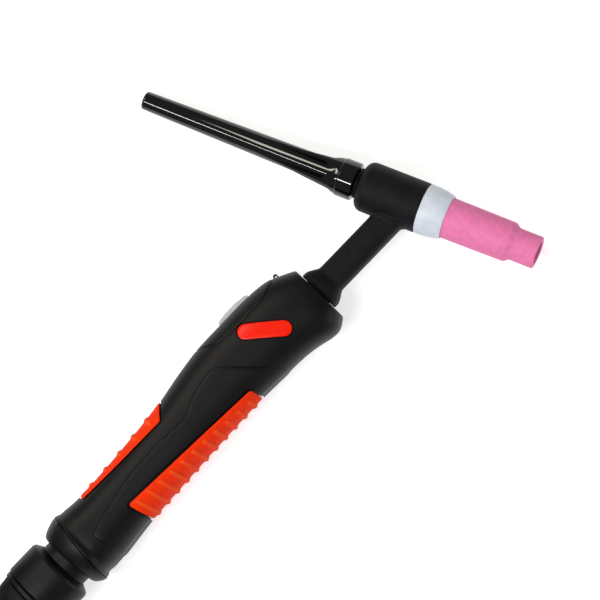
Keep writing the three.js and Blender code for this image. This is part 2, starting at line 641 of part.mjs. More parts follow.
function makeMetalwork() {
  addPiece(head, 'head_core', sleeve([[HEAD_REAR + GAP, CORE_R], [HEAD_FRONT - GAP, CORE_R]], CORE_BORE_R), brass);
  const neckTube = sleeve([[TUBE_REAR_X, TUBE_R], [TUBE_FRONT_X, TUBE_R]], TUBE_R - TUBE_WALL, 16);
  addPiece(torch, 'neck_tube', neckTube.translate(0, NECK_Y, 0), copper);
  const nutFront = NUT_REAR_X + NUT_LENGTH;
  const nut = turned([[NUT_REAR_X, 0], [NUT_REAR_X, NUT_R], [nutFront, NUT_R], [nutFront, 0]], 6);
  const bore = turned([[TUBE_REAR_X - GAP, 0], [TUBE_REAR_X - GAP, TUBE_R + GAP], [nutFront + 1, TUBE_R + GAP],
    [nutFront + 1, 0]], 16);
  addPiece(torch, 'hose_nut', shapeOf(solid(nut).subtract(solid(bore))).translate(0, NECK_Y, 0), brass);
  const hoseRun = NUT_REAR_X - GAP - HOSE_REAR_X;
  const hosePoints = route([[0, 0], [0.27, 0.08], [0.7, 0.84], [1, 1]].map(([share, rise]) => [
    HOSE_REAR_X + hoseRun * share, NECK_Y * rise, 0]), 16);
  addPiece(torch, 'inner_hose', tube(hosePoints, HOSE_R, 12), rubberBlack);
  const legRear = TRIGGER_X - SWITCH_LENGTH / 2 - GAP - LEG_THICKNESS;
  const beside = HOSE_R + WIRE_R + 0.4;
  const wireRun = legRear - HOSE_REAR_X;
  const wirePoints = route([[1, 14.5, 3], [0.84, 13.4, 5.5], [0.73, 9, 8.2], [0.59, 3.2, beside + 0.3],
    [0.35, 1.2, beside], [0, 0, beside]].map(([share, y, z]) => [HOSE_REAR_X - GAP + wireRun * share, y, z]), 7);
  addPiece(torch, 'switch_wires', tube(wirePoints, WIRE_R, 8), rubberBlack);
}

// ---- Consumables on the head's axis ---------------------------------------------------------------------------

const gasketRear = HEAD_FRONT + GAP;
const gasketFront = HEAD_FRONT + GASKET_LENGTH;
const cupRear = gasketFront - CUP_SEAT;
const cupFront = cupRear + CUP_LENGTH;
const colletFlangeR = CUP_THREAD_R + 0.6;
const colletFlangeLength = 1.7;

function makeCup() {
  const stepEnd = cupFront - CUP_TIP_LENGTH;
  const stepStart = stepEnd - CUP_STEP_LENGTH;
  const shoulder = [0.15, 0.5, 0.85].map((t) => [
    stepStart + CUP_STEP_LENGTH * t,
    CUP_TIP_R + (CUP_STEP_R - CUP_TIP_R) * (0.5 + 0.5 * Math.cos(Math.PI * t)),
  ]);
  const throat = stepStart - 9;
  addPiece(head, 'gas_cup', turned([
    [cupRear, CUP_THREAD_R], [cupRear, CUP_REAR_R - 0.3], [cupRear + 0.3, CUP_REAR_R], [stepStart, CUP_STEP_R],
    ...shoulder, [stepEnd, CUP_TIP_R], [cupFront - 0.6, CUP_TIP_R], [cupFront, CUP_TIP_R - 0.6],
    [cupFront, CUP_BORE_R + 0.5], [cupFront - 0.5, CUP_BORE_R], [throat, CUP_BORE_R],
    [throat - 2, CUP_THREAD_R], [cupRear, CUP_THREAD_R],
  ], 24), cupPink);
}

function makeGasket() {
  const recess = colletFlangeLength + 2 * GAP;
  const mid = (gasketRear + gasketFront) / 2;
  addPiece(head, 'cup_gasket', turned([
    [gasketRear, colletFlangeR + GAP], [gasketRear, HEAD_R - 0.15], [gasketRear + 3, HEAD_R - 0.1],
    [mid + 1, HEAD_R - 0.45], [gasketFront - 1.2, GASKET_FRONT_R + 0.3], [gasketFront, GASKET_FRONT_R],
    [gasketFront, CUP_REAR_R + GAP], [cupRear - GAP, CUP_REAR_R + GAP], [cupRear - GAP, COLLET_BODY_R + 0.5],
    [gasketRear + recess, COLLET_BODY_R + 0.5], [gasketRear + recess, colletFlangeR + GAP],
    [gasketRear, colletFlangeR + GAP],
  ], 24), gasketWhite);
}

function makeCollets() {
  const flangeRear = HEAD_FRONT;
  const nose = flangeRear + COLLET_BODY_LENGTH;
  const stemRear = HEAD_FRONT - 14;
  addPiece(head, 'collet_body', sleeve([
    [stemRear, CORE_BORE_R - GAP], [flangeRear, CORE_BORE_R - GAP], [flangeRear, colletFlangeR],
    [flangeRear + colletFlangeLength, colletFlangeR], [flangeRear + colletFlangeLength, COLLET_BODY_R],
    [nose - 16, COLLET_BODY_R], [nose - 8, CUP_BORE_R - 1.3], [nose, CUP_BORE_R - 1.5],
  ], COLLET_BODY_BORE_R, 16), brass);
  const capStubFront = HEAD_REAR - CAP_SEAT + CAP_STUB_LENGTH;
  addPiece(head, 'collet', sleeve([[capStubFront + GAP, COLLET_R], [nose - 1, COLLET_R]], COLLET_BORE_R, 12), copper);
}

function makeBackCap() {
  const seat = HEAD_REAR - CAP_SEAT;
  const ringEnd = seat - CAP_RING_LENGTH;
  const waist = ringEnd - CAP_WING_LENGTH;
  const tip = seat - CAP_LENGTH;
  const shaftAt = (x) => CAP_TIP_R + ((CAP_SHAFT_R - CAP_TIP_R) * (x - tip)) / (ringEnd - tip);
  const shaft = solid(turned([
    [seat + CAP_STUB_LENGTH, 0], [seat + CAP_STUB_LENGTH, CAP_STUB_R], [seat, CAP_STUB_R], [seat, CAP_RING_R - 0.5],
    [seat - 0.5, CAP_RING_R], [ringEnd + 0.5, CAP_RING_R], [ringEnd, CAP_WING_R], [ringEnd, CAP_SHAFT_R],
    [tip + 0.7, CAP_TIP_R], [tip, CAP_TIP_R - 0.7], [tip, 0],
  ], 20));
  const wings = solid(turned([[ringEnd + 1, 0], [ringEnd + 1, CAP_WING_R], [ringEnd, CAP_WING_R],
    [waist, shaftAt(waist) - 0.1], [waist, 0]], 20));
  const half = FLUTE_WIDTH / 2;
  const end = ringEnd - half - 0.6;
  const outline = new THREE.Shape();
  outline.moveTo(waist - 1, -half);
  outline.absarc(end, 0, half, -Math.PI / 2, Math.PI / 2);
  outline.lineTo(waist - 1, half);
  const flutes = Array.from({ length: FLUTE_COUNT }, (_, i) => {
    const flute = new THREE.ExtrudeGeometry(outline, { depth: 20, bevelEnabled: false, curveSegments: 4 });
    flute.translate(0, 0, shaftAt(waist) - 1).rotateX(-Math.PI / 2);
    return solid(flute.rotateX(radians(FLUTE_TURN + (360 * i) / FLUTE_COUNT)));
  });
  const bore = solid(turned([[tip + 7, 0], [tip + 7, CAP_BORE_R], [seat + CAP_STUB_LENGTH + 1, CAP_BORE_R],
    [seat + CAP_STUB_LENGTH + 1, 0]], 16));
  const body = cutAll(wings, flutes).add(shaft).subtract(bore);
  addPiece(head, 'back_cap', shapeOf(body), glossBlack);
  const middle = HEAD_REAR - CAP_SEAT / 2;
  const ring = Array.from({ length: 9 }, (_, i) => [
    middle + SEAL_R * Math.cos((Math.PI * i) / 4),
    SEAL_RING_R + SEAL_R * Math.sin((Math.PI * i) / 4),
  ]);
  addPiece(head, 'cap_seal', turned(ring, 14), rubberBlack);
}

// ---- Ball joint and boot, in the lead's frame -----------------------------------------------------------------

const bushFlangeFront = CUFF_REAR_X - GAP;
const bushFlangeRear = bushFlangeFront - BUSH_FLANGE_LENGTH;
const bootFront = bushFlangeRear - GAP;

function makeKnuckle() {
  const neck = solid(turned([[CUFF_REAR_X + 0.5, 0], [CUFF_REAR_X + 0.5, SLEEVE_R], [BALL_X, SLEEVE_R], [BALL_X, 0]]));
  const trim = solid(box(BALL_FRONT_X, 60, -30, 30, -30, 30));
  const bore = solid(turned([[-40, 0], [-40, BALL_BORE_R], [60, BALL_BORE_R], [60, 0]]));
  addPiece(tail, 'knuckle_ball', shapeOf(cutAll(ballSolid(BALL_R, 20).add(neck), [trim, bore])), softBlack);
  addPiece(tail, 'knuckle_cuff', sleeve([
    [CUFF_REAR_X, CUFF_R - 0.5], [CUFF_REAR_X + 0.5, CUFF_R], [-4.7, CUFF_R - 0.3], [-3.4, CUFF_R - 1.2],
    [CUFF_FRONT_X, CUFF_R - 2.7],
  ], SLEEVE_R + GAP, 24), softBlack);
}

function makeBush() {
  const outside = BALL_BORE_R - GAP;
  addPiece(tail, 'swivel_bush', sleeve([
    [bushFlangeRear, BUSH_FLANGE_R - 0.4], [bushFlangeRear + 0.4, BUSH_FLANGE_R], [bushFlangeFront - 0.4, BUSH_FLANGE_R],
    [bushFlangeFront, BUSH_FLANGE_R - 0.4], [bushFlangeFront, outside], [BALL_X - 4, outside],
  ], outside - BUSH_WALL, 16), plasticGrey);
}

function makeBoot() {
  const along = (share) => BOOT_REAR_X + (bootFront - BOOT_REAR_X) * share;
  const across = (share) => BOOT_REAR_R + (BOOT_FRONT_R - BOOT_REAR_R) * share;
  const radiusAt = smooth([[0, 0], [0.385, 0.364], [0.726, 0.788], [1, 1]].map(([x, r]) => [along(x), across(r)]));
  const rings = [];
  const first = bootFront - 5.6;
  for (let x = first; x > BOOT_REAR_X + BOOT_RING_PITCH; x -= BOOT_RING_PITCH) {
    rings.push([x, radiusAt(x)], [x - 0.9, radiusAt(x) - BOOT_RING_DEPTH], [x - 1.8, radiusAt(x - 1.8)]);
  }
  const boreEnd = BOOT_REAR_X + 16;
  const bore = BALL_BORE_R - GAP - BUSH_WALL;
  addPiece(tail, 'bend_boot', turned([
    [boreEnd, 0], [boreEnd, bore], [bootFront, bore], [bootFront, BOOT_FRONT_R - 0.4], [bootFront - 0.4, BOOT_FRONT_R],
    ...rings, [BOOT_REAR_X + 0.5, BOOT_REAR_R], [BOOT_REAR_X, BOOT_REAR_R - 0.5], [BOOT_REAR_X, 0],
  ], 18), rubberBlack);
}

// ---- Lead, coil, plug and tails, in the lead's frame, z from the floor ----------------------------------------

const leadR = LEAD_D / 2;
const bottomLayer = leadR + STRAP_THICKNESS + GAP;
const topLayer = bottomLayer + COIL_PITCH;
const coilOuterR = COIL_INNER_R + (COIL_PITCH * COIL_TURNS) / 2;
const coilY = coilOuterR;

// Chosen by hand: from the boot's end to the coil's top layer, and from its bottom layer to the plug.
const LEAD_POINTS = [[BOOT_REAR_X - GAP, 0, 18.9], [-75, 0, 18.9], [-81, 0, 19.1], [-87, 0, 19.5], [-92, 0, 19.8],
  [-96.5, 0, 19.97], [-100, 0, 20.0]];
const LEAD_END_POINTS = [[-100, 201.95, 7.3], [-94, 201.7, 7.4], [-85, 200.1, 8.1], [-76, 197.1, 9.5],
  [-68, 194.2, 11.1], [-61, 192.2, 12.3], [-56, 191.7, 12.5], [-50.3, 191.7, 12.5]];
const GAS_POINTS = [[-10.3, 175.6, 12.5], [-3, 171.1, 12.3], [7, 166.3, 10.6], [18, 163.1, 7.3], [30, 161.7, 4.4],
  [42, 161.2, 3.1], [52, 161.2, 3.0], [64, 161.2, 4.0], [75, 161.2, 5.7], [84, 161.2, 6.8], [91, 161.2, 6.95]];
const CONTROL_POINTS = [[-10.3, 207.8, 12.5], [-3, 211.9, 12.1], [7, 214.6, 9.9], [18, 215.1, 6.4], [30, 214.3, 3.7],
  [40, 213, 2.6], [50, 211.7, 2.5], [60, 210.7, 3.6], [72, 210, 6.6], [81, 209.7, 8.2], [88, 209.7, 8.5]];

/** The coil's line: straight in, spiral in on the top layer, down a layer, spiral out below, straight out. */
function coilLine() {
  const half = COIL_TURNS / 2;
  const points = [[COIL_X + LEAD_D, 0, topLayer]];
  const count = Math.round(COIL_TURNS * COIL_STEPS);
  for (let i = 0; i <= count; i++) {
    const turns = (COIL_TURNS * i) / count;
    const angle = -Math.PI / 2 - 2 * Math.PI * turns;
    const radius = COIL_INNER_R + COIL_PITCH * Math.abs(turns - half);
    const drop = THREE.MathUtils.smoothstep(turns, half - 0.25, half + 0.25);
    points.push([COIL_X + radius * Math.cos(angle), coilY + radius * Math.sin(angle), topLayer - COIL_PITCH * drop]);
  }
  points.push([COIL_X + LEAD_D, 2 * coilY, bottomLayer]);
  return points;
}

/** The least distance between parts of a line that lie further apart along it than a few of its diameters. */
function leastGap(points, diameter) {
  const path = points.map((p) => new THREE.Vector3(...p));
  const walked = path.map((p, i) => (i ? p.distanceTo(path[i - 1]) : 0));
  for (let i = 1; i < walked.length; i++) {
    walked[i] += walked[i - 1];
  }
  let least = Infinity;
  const near = new THREE.Vector3();
  for (let i = 0; i < path.length; i++) {
    for (let k = i + 1; k + 1 < path.length; k++) {
      if (walked[k] - walked[i] > 4 * diameter) {
        new THREE.Line3(path[k], path[k + 1]).closestPointToPoint(path[i], true, near);
        least = Math.min(least, near.distanceTo(path[i]) - diameter);
      }
    }
  }
  return least;
}

function makeLead() {
  const start = route(LEAD_POINTS, LEAD_D / 3);
  const end = route(LEAD_END_POINTS, LEAD_D / 2);
  const coil = coilLine();
  coil[0][0] -= GAP;
  coil.at(-1)[0] -= GAP;
  addPiece(tail, 'lead', tube(start, leadR, LEAD_SIDES), rubberBlack);
  addPiece(tail, 'lead_coil', tube(coil, leadR, COIL_SIDES), rubberBlack);
  addPiece(tail, 'lead_end', tube(end, leadR, LEAD_SIDES), rubberBlack);
  console.log('coil: least gap to itself, mm', leastGap(coil, LEAD_D).toFixed(2));
  console.log('lead length, mm', (lengthOf(start) + lengthOf(coil) + lengthOf(end)).toFixed(0));
}

function makeStrap() {
  const slack = GAP + 0.2;
  const [near, far] = [COIL_INNER_R - leadR - slack, coilOuterR + leadR + slack];
  const top = topLayer + leadR + slack;
  const outline = (extra) => [[near - extra, STRAP_THICKNESS - extra], [far + extra, STRAP_THICKNESS - extra],
    [far + extra, top + extra], [near - extra, top + extra]].map(([r, z]) => new THREE.Vector2(r, z));
  const shape = new THREE.Shape(outline(STRAP_THICKNESS));
  shape.holes.push(new THREE.Path(outline(0)));
  const strap = new THREE.ExtrudeGeometry(shape, { depth: STRAP_WIDTH, bevelEnabled: false });
  strap.translate(0, 0, -STRAP_WIDTH / 2).rotateX(Math.PI / 2).rotateZ(Math.PI);
  addPiece(tail, 'coil_strap', strap.translate(COIL_X, coilY, 0), softBlack);
}

function makePlug() {
  const toPlug = (geometry) => geometry.translate(PLUG_X, PLUG_Y, PLUG_Z);
  const boot = solid(turned([[0, 0], [0, PLUG_BOOT_REAR_R], [10, PLUG_BOOT_REAR_R + 0.6], [26, PLUG_SLEEVE_R - 1.2],
    [PLUG_BOOT_LENGTH, PLUG_SLEEVE_R - 0.3], [PLUG_BOOT_LENGTH, 0]]));
  const outlets = [[-1, GAS_D], [1, CONTROL_D]].map(([side, diameter]) => solid(turned([
    [0, 0], [0, diameter / 2 + OUTLET_WALL + 1], [OUTLET_LENGTH, diameter / 2 + OUTLET_WALL], [OUTLET_LENGTH, 0],
  ], 16).rotateZ(side * radians(OUTLET_ANGLE)).translate(OUTLET_X, 0, 0)));
  addPiece(tail, 'plug_boot', toPlug(shapeOf(joinAll([boot, ...outlets]))), rubberBlack);
  const sleeveRear = PLUG_BOOT_LENGTH + GAP;
  const sleeveFront = sleeveRear + PLUG_SLEEVE_LENGTH;
  const seat = sleeveFront - 12;
  addPiece(tail, 'plug_sleeve', toPlug(turned([
    [seat, 0], [sleeveRear, 0], [sleeveRear, PLUG_SLEEVE_R - 0.3], [sleeveRear + 1, PLUG_SLEEVE_R],
    [sleeveFront - 1, PLUG_SLEEVE_R], [sleeveFront, PLUG_SLEEVE_R - 1], [sleeveFront, PIN_R + GAP],
    [seat, PIN_R + GAP], [seat, 0],
  ])), softBlack);
  const pinFront = sleeveFront + PIN_LENGTH;
  const pin = solid(turned([[seat + GAP, 0], [seat + GAP, PIN_R], [pinFront - 0.8, PIN_R], [pinFront, PIN_R - 0.8],
    [pinFront, 0]], 24));
  const key = solid(box(sleeveFront + 8, sleeveFront + 12, 0, PIN_R + 1.6, -1.6, 1.6));
  addPiece(tail, 'plug_pin', toPlug(shapeOf(pin.add(key))), brass);
}

function makeGasTail() {
  addPiece(tail, 'gas_tail', tube(route(GAS_POINTS, GAS_D * 1.5), GAS_D / 2, 6), rubberBlack);
  const [x, y, z] = GAS_POINTS.at(-1);
  const seat = 9; // from the nipple's rear to the shoulder that the nut bears on
  addPiece(tail, 'gas_nipple', sleeve([
    [GAP, NIPPLE_R], [seat, NIPPLE_R], [seat, UNION_R - 2.6], [seat + 3, UNION_R - 2.6], [seat + 5, NIPPLE_R],
  ], 1.6, 14).translate(x, y, z), brass);
  const rear = seat - 3;
  const front = rear + UNION_LENGTH;
  const nut = solid(turned([[rear, 0], [rear, UNION_R], [front, UNION_R], [front, 0]], 6).rotateX(Math.PI / 6));
  const bore = solid(turned([[rear - 1, 0], [rear - 1, NIPPLE_R + GAP], [seat - GAP, NIPPLE_R + GAP],
    [seat - GAP, UNION_R - 2.2], [front + 1, UNION_R - 2.2], [front + 1, 0]], 20));
  addPiece(tail, 'gas_nut', shapeOf(nut.subtract(bore)).translate(x, y, z), brass);
}

function makeControlTail() {
  addPiece(tail, 'control_tail', tube(route(CONTROL_POINTS, CONTROL_D * 2), CONTROL_D / 2, 6), rubberBlack);
  const [x, y, z] = CONTROL_POINTS.at(-1);
  const shell = CONTROL_PLUG_R - 1.6;
  const front = CONTROL_PLUG_LENGTH;
  const insertRear = front - CONTROL_INSERT_LENGTH;
  addPiece(tail, 'control_plug_body', turned([
    [insertRear - GAP, 0], [GAP, 0], [GAP, CONTROL_D / 2 + 1.8], [8, CONTROL_D / 2 + 2.2], [9, shell], [front, shell],
    [front, shell - 1.2], [insertRear - GAP, shell - 1.2], [insertRear - GAP, 0],
  ], 20).translate(x, y, z), steel);
  addPiece(tail, 'control_plug_insert', turned([
    [insertRear, 0], [insertRear, shell - 1.2 - GAP], [front - 1, shell - 1.2 - GAP], [front - 1, 0],
  ], 20).translate(x, y, z), plasticGrey);
  const ringRear = front - CONTROL_RING_LENGTH;
  addPiece(tail, 'control_plug_ring', sleeve([
    [ringRear, CONTROL_PLUG_R - 0.5], [ringRear + 0.5, CONTROL_PLUG_R], [front + 1.5, CONTROL_PLUG_R],
    [front + 2, CONTROL_PLUG_R - 0.5],
  ], shell + GAP, 20).translate(x, y, z), steel);
}

// ---- Rest ---------------------------------------------------------------------------------------------------

/** The lowest point of a mesh, in the world. */
function lowest(mesh) {
  mesh.updateWorldMatrix(true, false);
  const point = new THREE.Vector3();
  const found = new THREE.Vector3(0, 0, Infinity);
  const position = mesh.geometry.attributes.position;
  for (let i = 0; i < position.count; i++) {
    point.fromBufferAttribute(position, i).applyMatrix4(mesh.matrixWorld);
    if (point.z < found.z) {
      found.copy(point);
    }
  }
  return found;
}

/** Turns the torch about its ball until ring, handle belly and cap tip all touch the floor. */
function layDown(pieces) {
  const pose = { roll: 0, pitch: 0, height: RING_R };
  const apply = () => {
    torch.position.set(0, 0, 0);
    torch.rotation.set(-pose.roll, pose.pitch, 0, 'YXZ');
    const ball = new THREE.Vector3(BALL_X, 0, 0).applyEuler(torch.rotation);
    torch.position.set(BALL_X - ball.x, -ball.y, pose.height - ball.z);
  };
  for (let i = 0; i < 12; i++) {
    apply();
    const ring = lowest(pieces.ring);
    pose.height -= ring.z;
    apply();
    const cap = lowest(pieces.cap);
    pose.roll += cap.z / cap.y;
    apply();
    const belly = lowest(pieces.belly);
    pose.pitch += belly.z / belly.x;
  }
  apply();
  return pose;
}

makeShells();
makeLockRing();
makeGrip('palm_grip_insert', PALM_OUTLINE, PALM_RIBS, -1);
makeGrip('finger_grip_insert', FINGER_OUTLINE, FINGER_RIBS, 1);
makeModule();
makeClip();
makeTrigger();
makeBadge();
makeScrews();
makeTorchBody();
makeMetalwork();
makeCup();
makeGasket();
makeCollets();
makeBackCap();
makeKnuckle();
makeBush();
makeBoot();
makeLead();
makeStrap();
makePlug();
makeGasTail();
makeControlTail();

const byName = (name) => torch.getObjectByName(name);
const rest = layDown({
  ring: byName('rear_lock_ring'),
  belly: byName('handle_shell_lower'),
  cap: byName('back_cap'),
});
console.log('rest: roll, pitch (degrees), ball height (mm)', THREE.MathUtils.radToDeg(rest.roll).toFixed(3),
  THREE.MathUtils.radToDeg(rest.pitch).toFixed(3), rest.height.toFixed(3));

// The ball joint and boot are drawn on the lead's axis: they are lifted to the ball's height.
for (const name of ['knuckle_ball', 'knuckle_cuff', 'swivel_bush', 'bend_boot']) {
  tail.getObjectByName(name).position.z = rest.height;
}

// Centre the torch's own pieces over the origin.
const object = new THREE.Group();
object.add(torch, tail);
object.updateMatrixWorld(true);
const ON_THE_LEAD = /^(lead|coil|plug|gas_(tail|nipple|nut)|control)/;
const own = new THREE.Box3();
object.traverse((node) => {
  if (node.isMesh && !ON_THE_LEAD.test(node.name)) {
    own.union(new THREE.Box3().setFromObject(node, true));
  }
});
const middle = own.getCenter(new THREE.Vector3());
object.position.set(-middle.x, -middle.y, 0);

export default object;
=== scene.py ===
"""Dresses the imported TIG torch: finished pieces, materials, lead, light and camera, in the frame of its model.

The handle, head and lead have frames of their own. Tables and profiles are in millimetres in these frames, and a
frame's matrix turns them into the world's metres. In the handle's frame X runs along the handle from the throat
behind the lock ring, Y points to the trigger and Z out of the side that faces up. In the head's frame X is the axis
of cup and back cap and grows towards the cup.
"""

import json
import math

import bmesh
import bpy
from bpy.props import FloatProperty, FloatVectorProperty, IntProperty, PointerProperty
from mathutils import Matrix, Vector


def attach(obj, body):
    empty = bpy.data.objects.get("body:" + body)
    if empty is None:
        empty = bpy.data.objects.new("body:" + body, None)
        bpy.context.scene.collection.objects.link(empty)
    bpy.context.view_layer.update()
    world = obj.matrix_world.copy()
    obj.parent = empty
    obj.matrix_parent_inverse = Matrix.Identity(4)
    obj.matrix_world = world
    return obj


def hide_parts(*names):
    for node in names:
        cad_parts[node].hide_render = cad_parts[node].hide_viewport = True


bl_info = {
    "name": "TIG torch",
    "version": (1, 0, 0),
    "blender": (4, 5, 0),
    "location": "3D View > Sidebar > Torch",
    "description": "Models and dresses a TIG welding torch around its packed frame",
    "category": "Object",
}

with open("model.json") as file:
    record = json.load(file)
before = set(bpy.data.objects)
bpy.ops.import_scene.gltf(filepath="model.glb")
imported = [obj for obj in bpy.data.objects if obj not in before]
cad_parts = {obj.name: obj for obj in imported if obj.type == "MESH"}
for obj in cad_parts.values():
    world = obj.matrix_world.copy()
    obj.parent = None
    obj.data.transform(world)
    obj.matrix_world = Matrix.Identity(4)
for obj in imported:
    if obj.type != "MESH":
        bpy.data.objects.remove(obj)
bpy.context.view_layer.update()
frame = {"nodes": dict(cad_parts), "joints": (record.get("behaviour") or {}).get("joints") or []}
JOINTS = {joint["name"]: joint for joint in frame["joints"]}

# ---- Frames -----------------------------------------------------------------------------------------------------

HEAD_ANGLE = math.radians(68)
HEAD_PLACE = (232.3, 3.1, 0)  # where the neck's axis meets the head's
BALL_X = 8.5


def as_columns(*columns):
    """A matrix whose columns are three axes and an origin."""
    return Matrix([[column[row] for column in columns] for row in range(3)] + [(0, 0, 0, 1)])


def frame_matrix(x_axis, y_axis, z_axis, origin):
    """A frame's matrix: its axes a thousandth as long, and its origin in metres."""
    return as_columns(x_axis * 0.001, y_axis * 0.001, z_axis * 0.001, origin)


def about(axis, degrees):
    return Matrix.Rotation(math.radians(degrees), 4, axis)


BALL = Vector(JOINTS["lead_swing"]["pos_m"])
HAND_Y = -Vector(JOINTS["trigger_press"]["axis"]).normalized()
HAND_X = (Vector(JOINTS["cup_turn"]["axis"]) + HAND_Y * math.sin(HEAD_ANGLE)).normalized()
HAND_Z = HAND_X.cross(HAND_Y).normalized()
HANDLE = frame_matrix(HAND_X, HAND_Y, HAND_Z, BALL - HAND_X * BALL_X * 0.001)
HANDLE_TO_HEAD = Matrix.Translation(HEAD_PLACE) @ Matrix.Rotation(-HEAD_ANGLE, 4, "Z")
HEAD = HANDLE @ HANDLE_TO_HEAD
LEAD = frame_matrix(Vector((1, 0, 0)), Vector((0, 1, 0)), Vector((0, 0, 1)),
                    Vector((BALL.x - BALL_X * 0.001, BALL.y, 0)))
KNUCKLE = Matrix.Translation((0, 0, BALL.z)) @ LEAD

# ---- Sizes that the frame fixes, in millimetres -----------------------------------------------------------------

GAP = 0.3

HANDLE_FRONT_X = 173.3
HANDLE_TOP = [(4, 18.5), (12.6, 18.5), (13.6, 18.3), (15, 17.55), (18, 17.25), (25, 16.6), (40, 16.7), (60, 18.0),
              (75, 19.3), (86, 20.8), (100, 23.3), (115, 25.2), (130, 25.5), (148, 25.4), (160, 24.0), (167, 20.9),
              (HANDLE_FRONT_X, 17.6)]
HANDLE_BOTTOM = [(4, -18.5), (8.6, -18.5), (9.8, -18.1), (11.6, -17.1), (15.5, -17.4), (20, -17.2), (25, -16.8),
                 (43, -14.8), (66, -13.7), (92, -12.8), (117, -12.3), (136, -12.9), (147, -13.4), (155, -14.6),
                 (163, -16.5), (168, -16.4), (HANDLE_FRONT_X, -13.2)]
HANDLE_HALF_WIDTH = [(4, 18.5), (10.8, 18.5), (11.9, 18.2), (13.3, 17.35), (17, 17.3), (32, 16.6), (60, 15.8),
                     (100, 15.6), (135, 15.8), (155, 15.6), (167, 15.0), (HANDLE_FRONT_X, 13.6)]
SECTION_POWER = 2.4
FRONT_ROUND = 1.0  # radius of the front edge
FINE_END_X = 16  # the shell's rings stand closer up to here
FINE_STEP = 0.45
SEAM_ROUND = 0.9  # how far the edge at the ring's seam is rounded
SEAM_DROP = 0.35
WALL = 3.2
CAVITY = (26, 163)

BALL_R = 15
BALL_PLAY = 0.5
BALL_BORE_R = 9.5
BALL_FRONT_X = 20
SLEEVE_R = 12.45
RING_CROWN = [(0, 15.1), (0.12, 16.1), (0.25, 16.8), (0.5, 17.75), (0.75, 18.4), (1, 18.75)]
RING_REAR_X = 2.95
RING_REAR_TILT = math.radians(-2.2)
RING_SEAM_X = 11
RING_SEAM_TILT = math.radians(6.5)
RING_MOUTH_X = RING_REAR_X + 0.6  # the mouth leaves room for the sleeve's swing
RING_MOUTH_R = SLEEVE_R + 2.15
CUFF_R = 16.95
CUFF_FRONT_X = -1.25
CUFF_REAR_X = -20
FLANGE_R = 16.4
FLANGE_LENGTH = 2.7
BUSH_WALL = 2
BOOT_FRONT_R = 15.6
BOOT_REAR_R = 9
BOOT_REAR_X = -70
BOOT_RING_PITCH = 6.4

PALM_OUTLINE = [(120.2, -30), (120.3, -10.6), (119.5, -8.1), (118.0, -7.2), (42.6, -4.2), (40.9, -4.9),
                (40.7, -6.6), (41.5, -10), (42.6, -13.5), (43.8, -17), (44, -30)]
FINGER_OUTLINE = [(27.0, 30), (27.0, 12.6), (50, 11.7), (79.0, 11.3), (79.9, 11.8), (85.4, 19.2), (85.4, 30)]
MODULE_OUTLINE = [(113.6, 40), (113.6, 24.6), (115.9, 23.2), (124.3, 17.7), (132, 17), (141.2, 16.8), (150, 17.1),
                  (156.9, 18.5), (161.2, 20.4), (162.8, 22.2), (163.2, 24), (163.2, 40)]
PANEL_OUTLINE = [(140, -30), (140.3, -15.5), (135.7, -10.3), (127.8, -2.8), (120.4, 5.0), (116.4, 9.0),
                 (113.4, 10.9), (110.0, 11.3), (107.5, 10.9), (100.6, 9.3), (95.6, 7.8), (89.7, 5.0), (87.2, 4.4),
                 (84, 4.45), (80.7, 4.7), (70.8, 5.15), (60.9, 4.8), (51, 4.1), (41.1, 2.4), (31.2, 0.5),
                 (25.6, -1.0), (20.3, -2.8), (19.8, -4.2), (20.6, -7.8), (21.6, -14.4), (22, -30)]
PANEL_REAR_X, PANEL_FRONT_X, PANEL_TOP_Y = 14, 142, 14  # the panel's step lies between these
BORDER = 0.8  # width of the shallow groove round an insert
BORDER_DEPTH = 0.5
INSERT_DEPTH = 1.8
SCREW_PLACES = [(36, 10.5), (97, 16.5), (128, -7.5), (160, -11.3)]

TRIGGER_X = 140.3
TRIGGER_LENGTH = 18.2
TRIGGER_HALF_WIDTH = 5.5
TRIGGER_TOP_Y = 28.1
TRIGGER_CROWN_R = 9
TRIGGER_STEPS = [(-9.1, -9), (-9.1, -3.6), (-10.2, -3.6), (-10.2, -2.5), (-9.5, -1.9), (-8.7, -1.35), (-6.5, -1.25),
                 (-6.1, -0.7), (-5.1, -0.6), (-4.7, -0.05), (-1.5, 0), (2.6, -0.1), (3.1, -0.7), (4.2, -0.8),
                 (4.6, -1.35), (7.4, -1.5), (8.4, -2.0), (9.1, -2.7), (9.1, -9)]
SKIRT_TOP_Y = 19.6
SKIRT_THICKNESS = 1.4
SKIRT_OVERHANG = 1.5
SWITCH_TOP_Y = 15.4
SWITCH_HEIGHT = 7.8
SWITCH_LENGTH = 20
LEG_THICKNESS = 3.7
LEG_WIDTH = 10
CLIP_X = 164.7
CLIP_RISE = 1.8  # how far the wire clip stands above the handle's top
CLIP_DEPTH = 2.2
CLIP_OUTSIDE = (-1.1, 1.2)
CLIP_INSIDE = (-0.45, 0.5)
CLIP_WIRE = 0.65
BADGE_PILL = ((143.4, 6.2), 26.3, 8.0, math.radians(-41.5))  # centre, length, width and turn
BADGE_DEPTH = 0.8

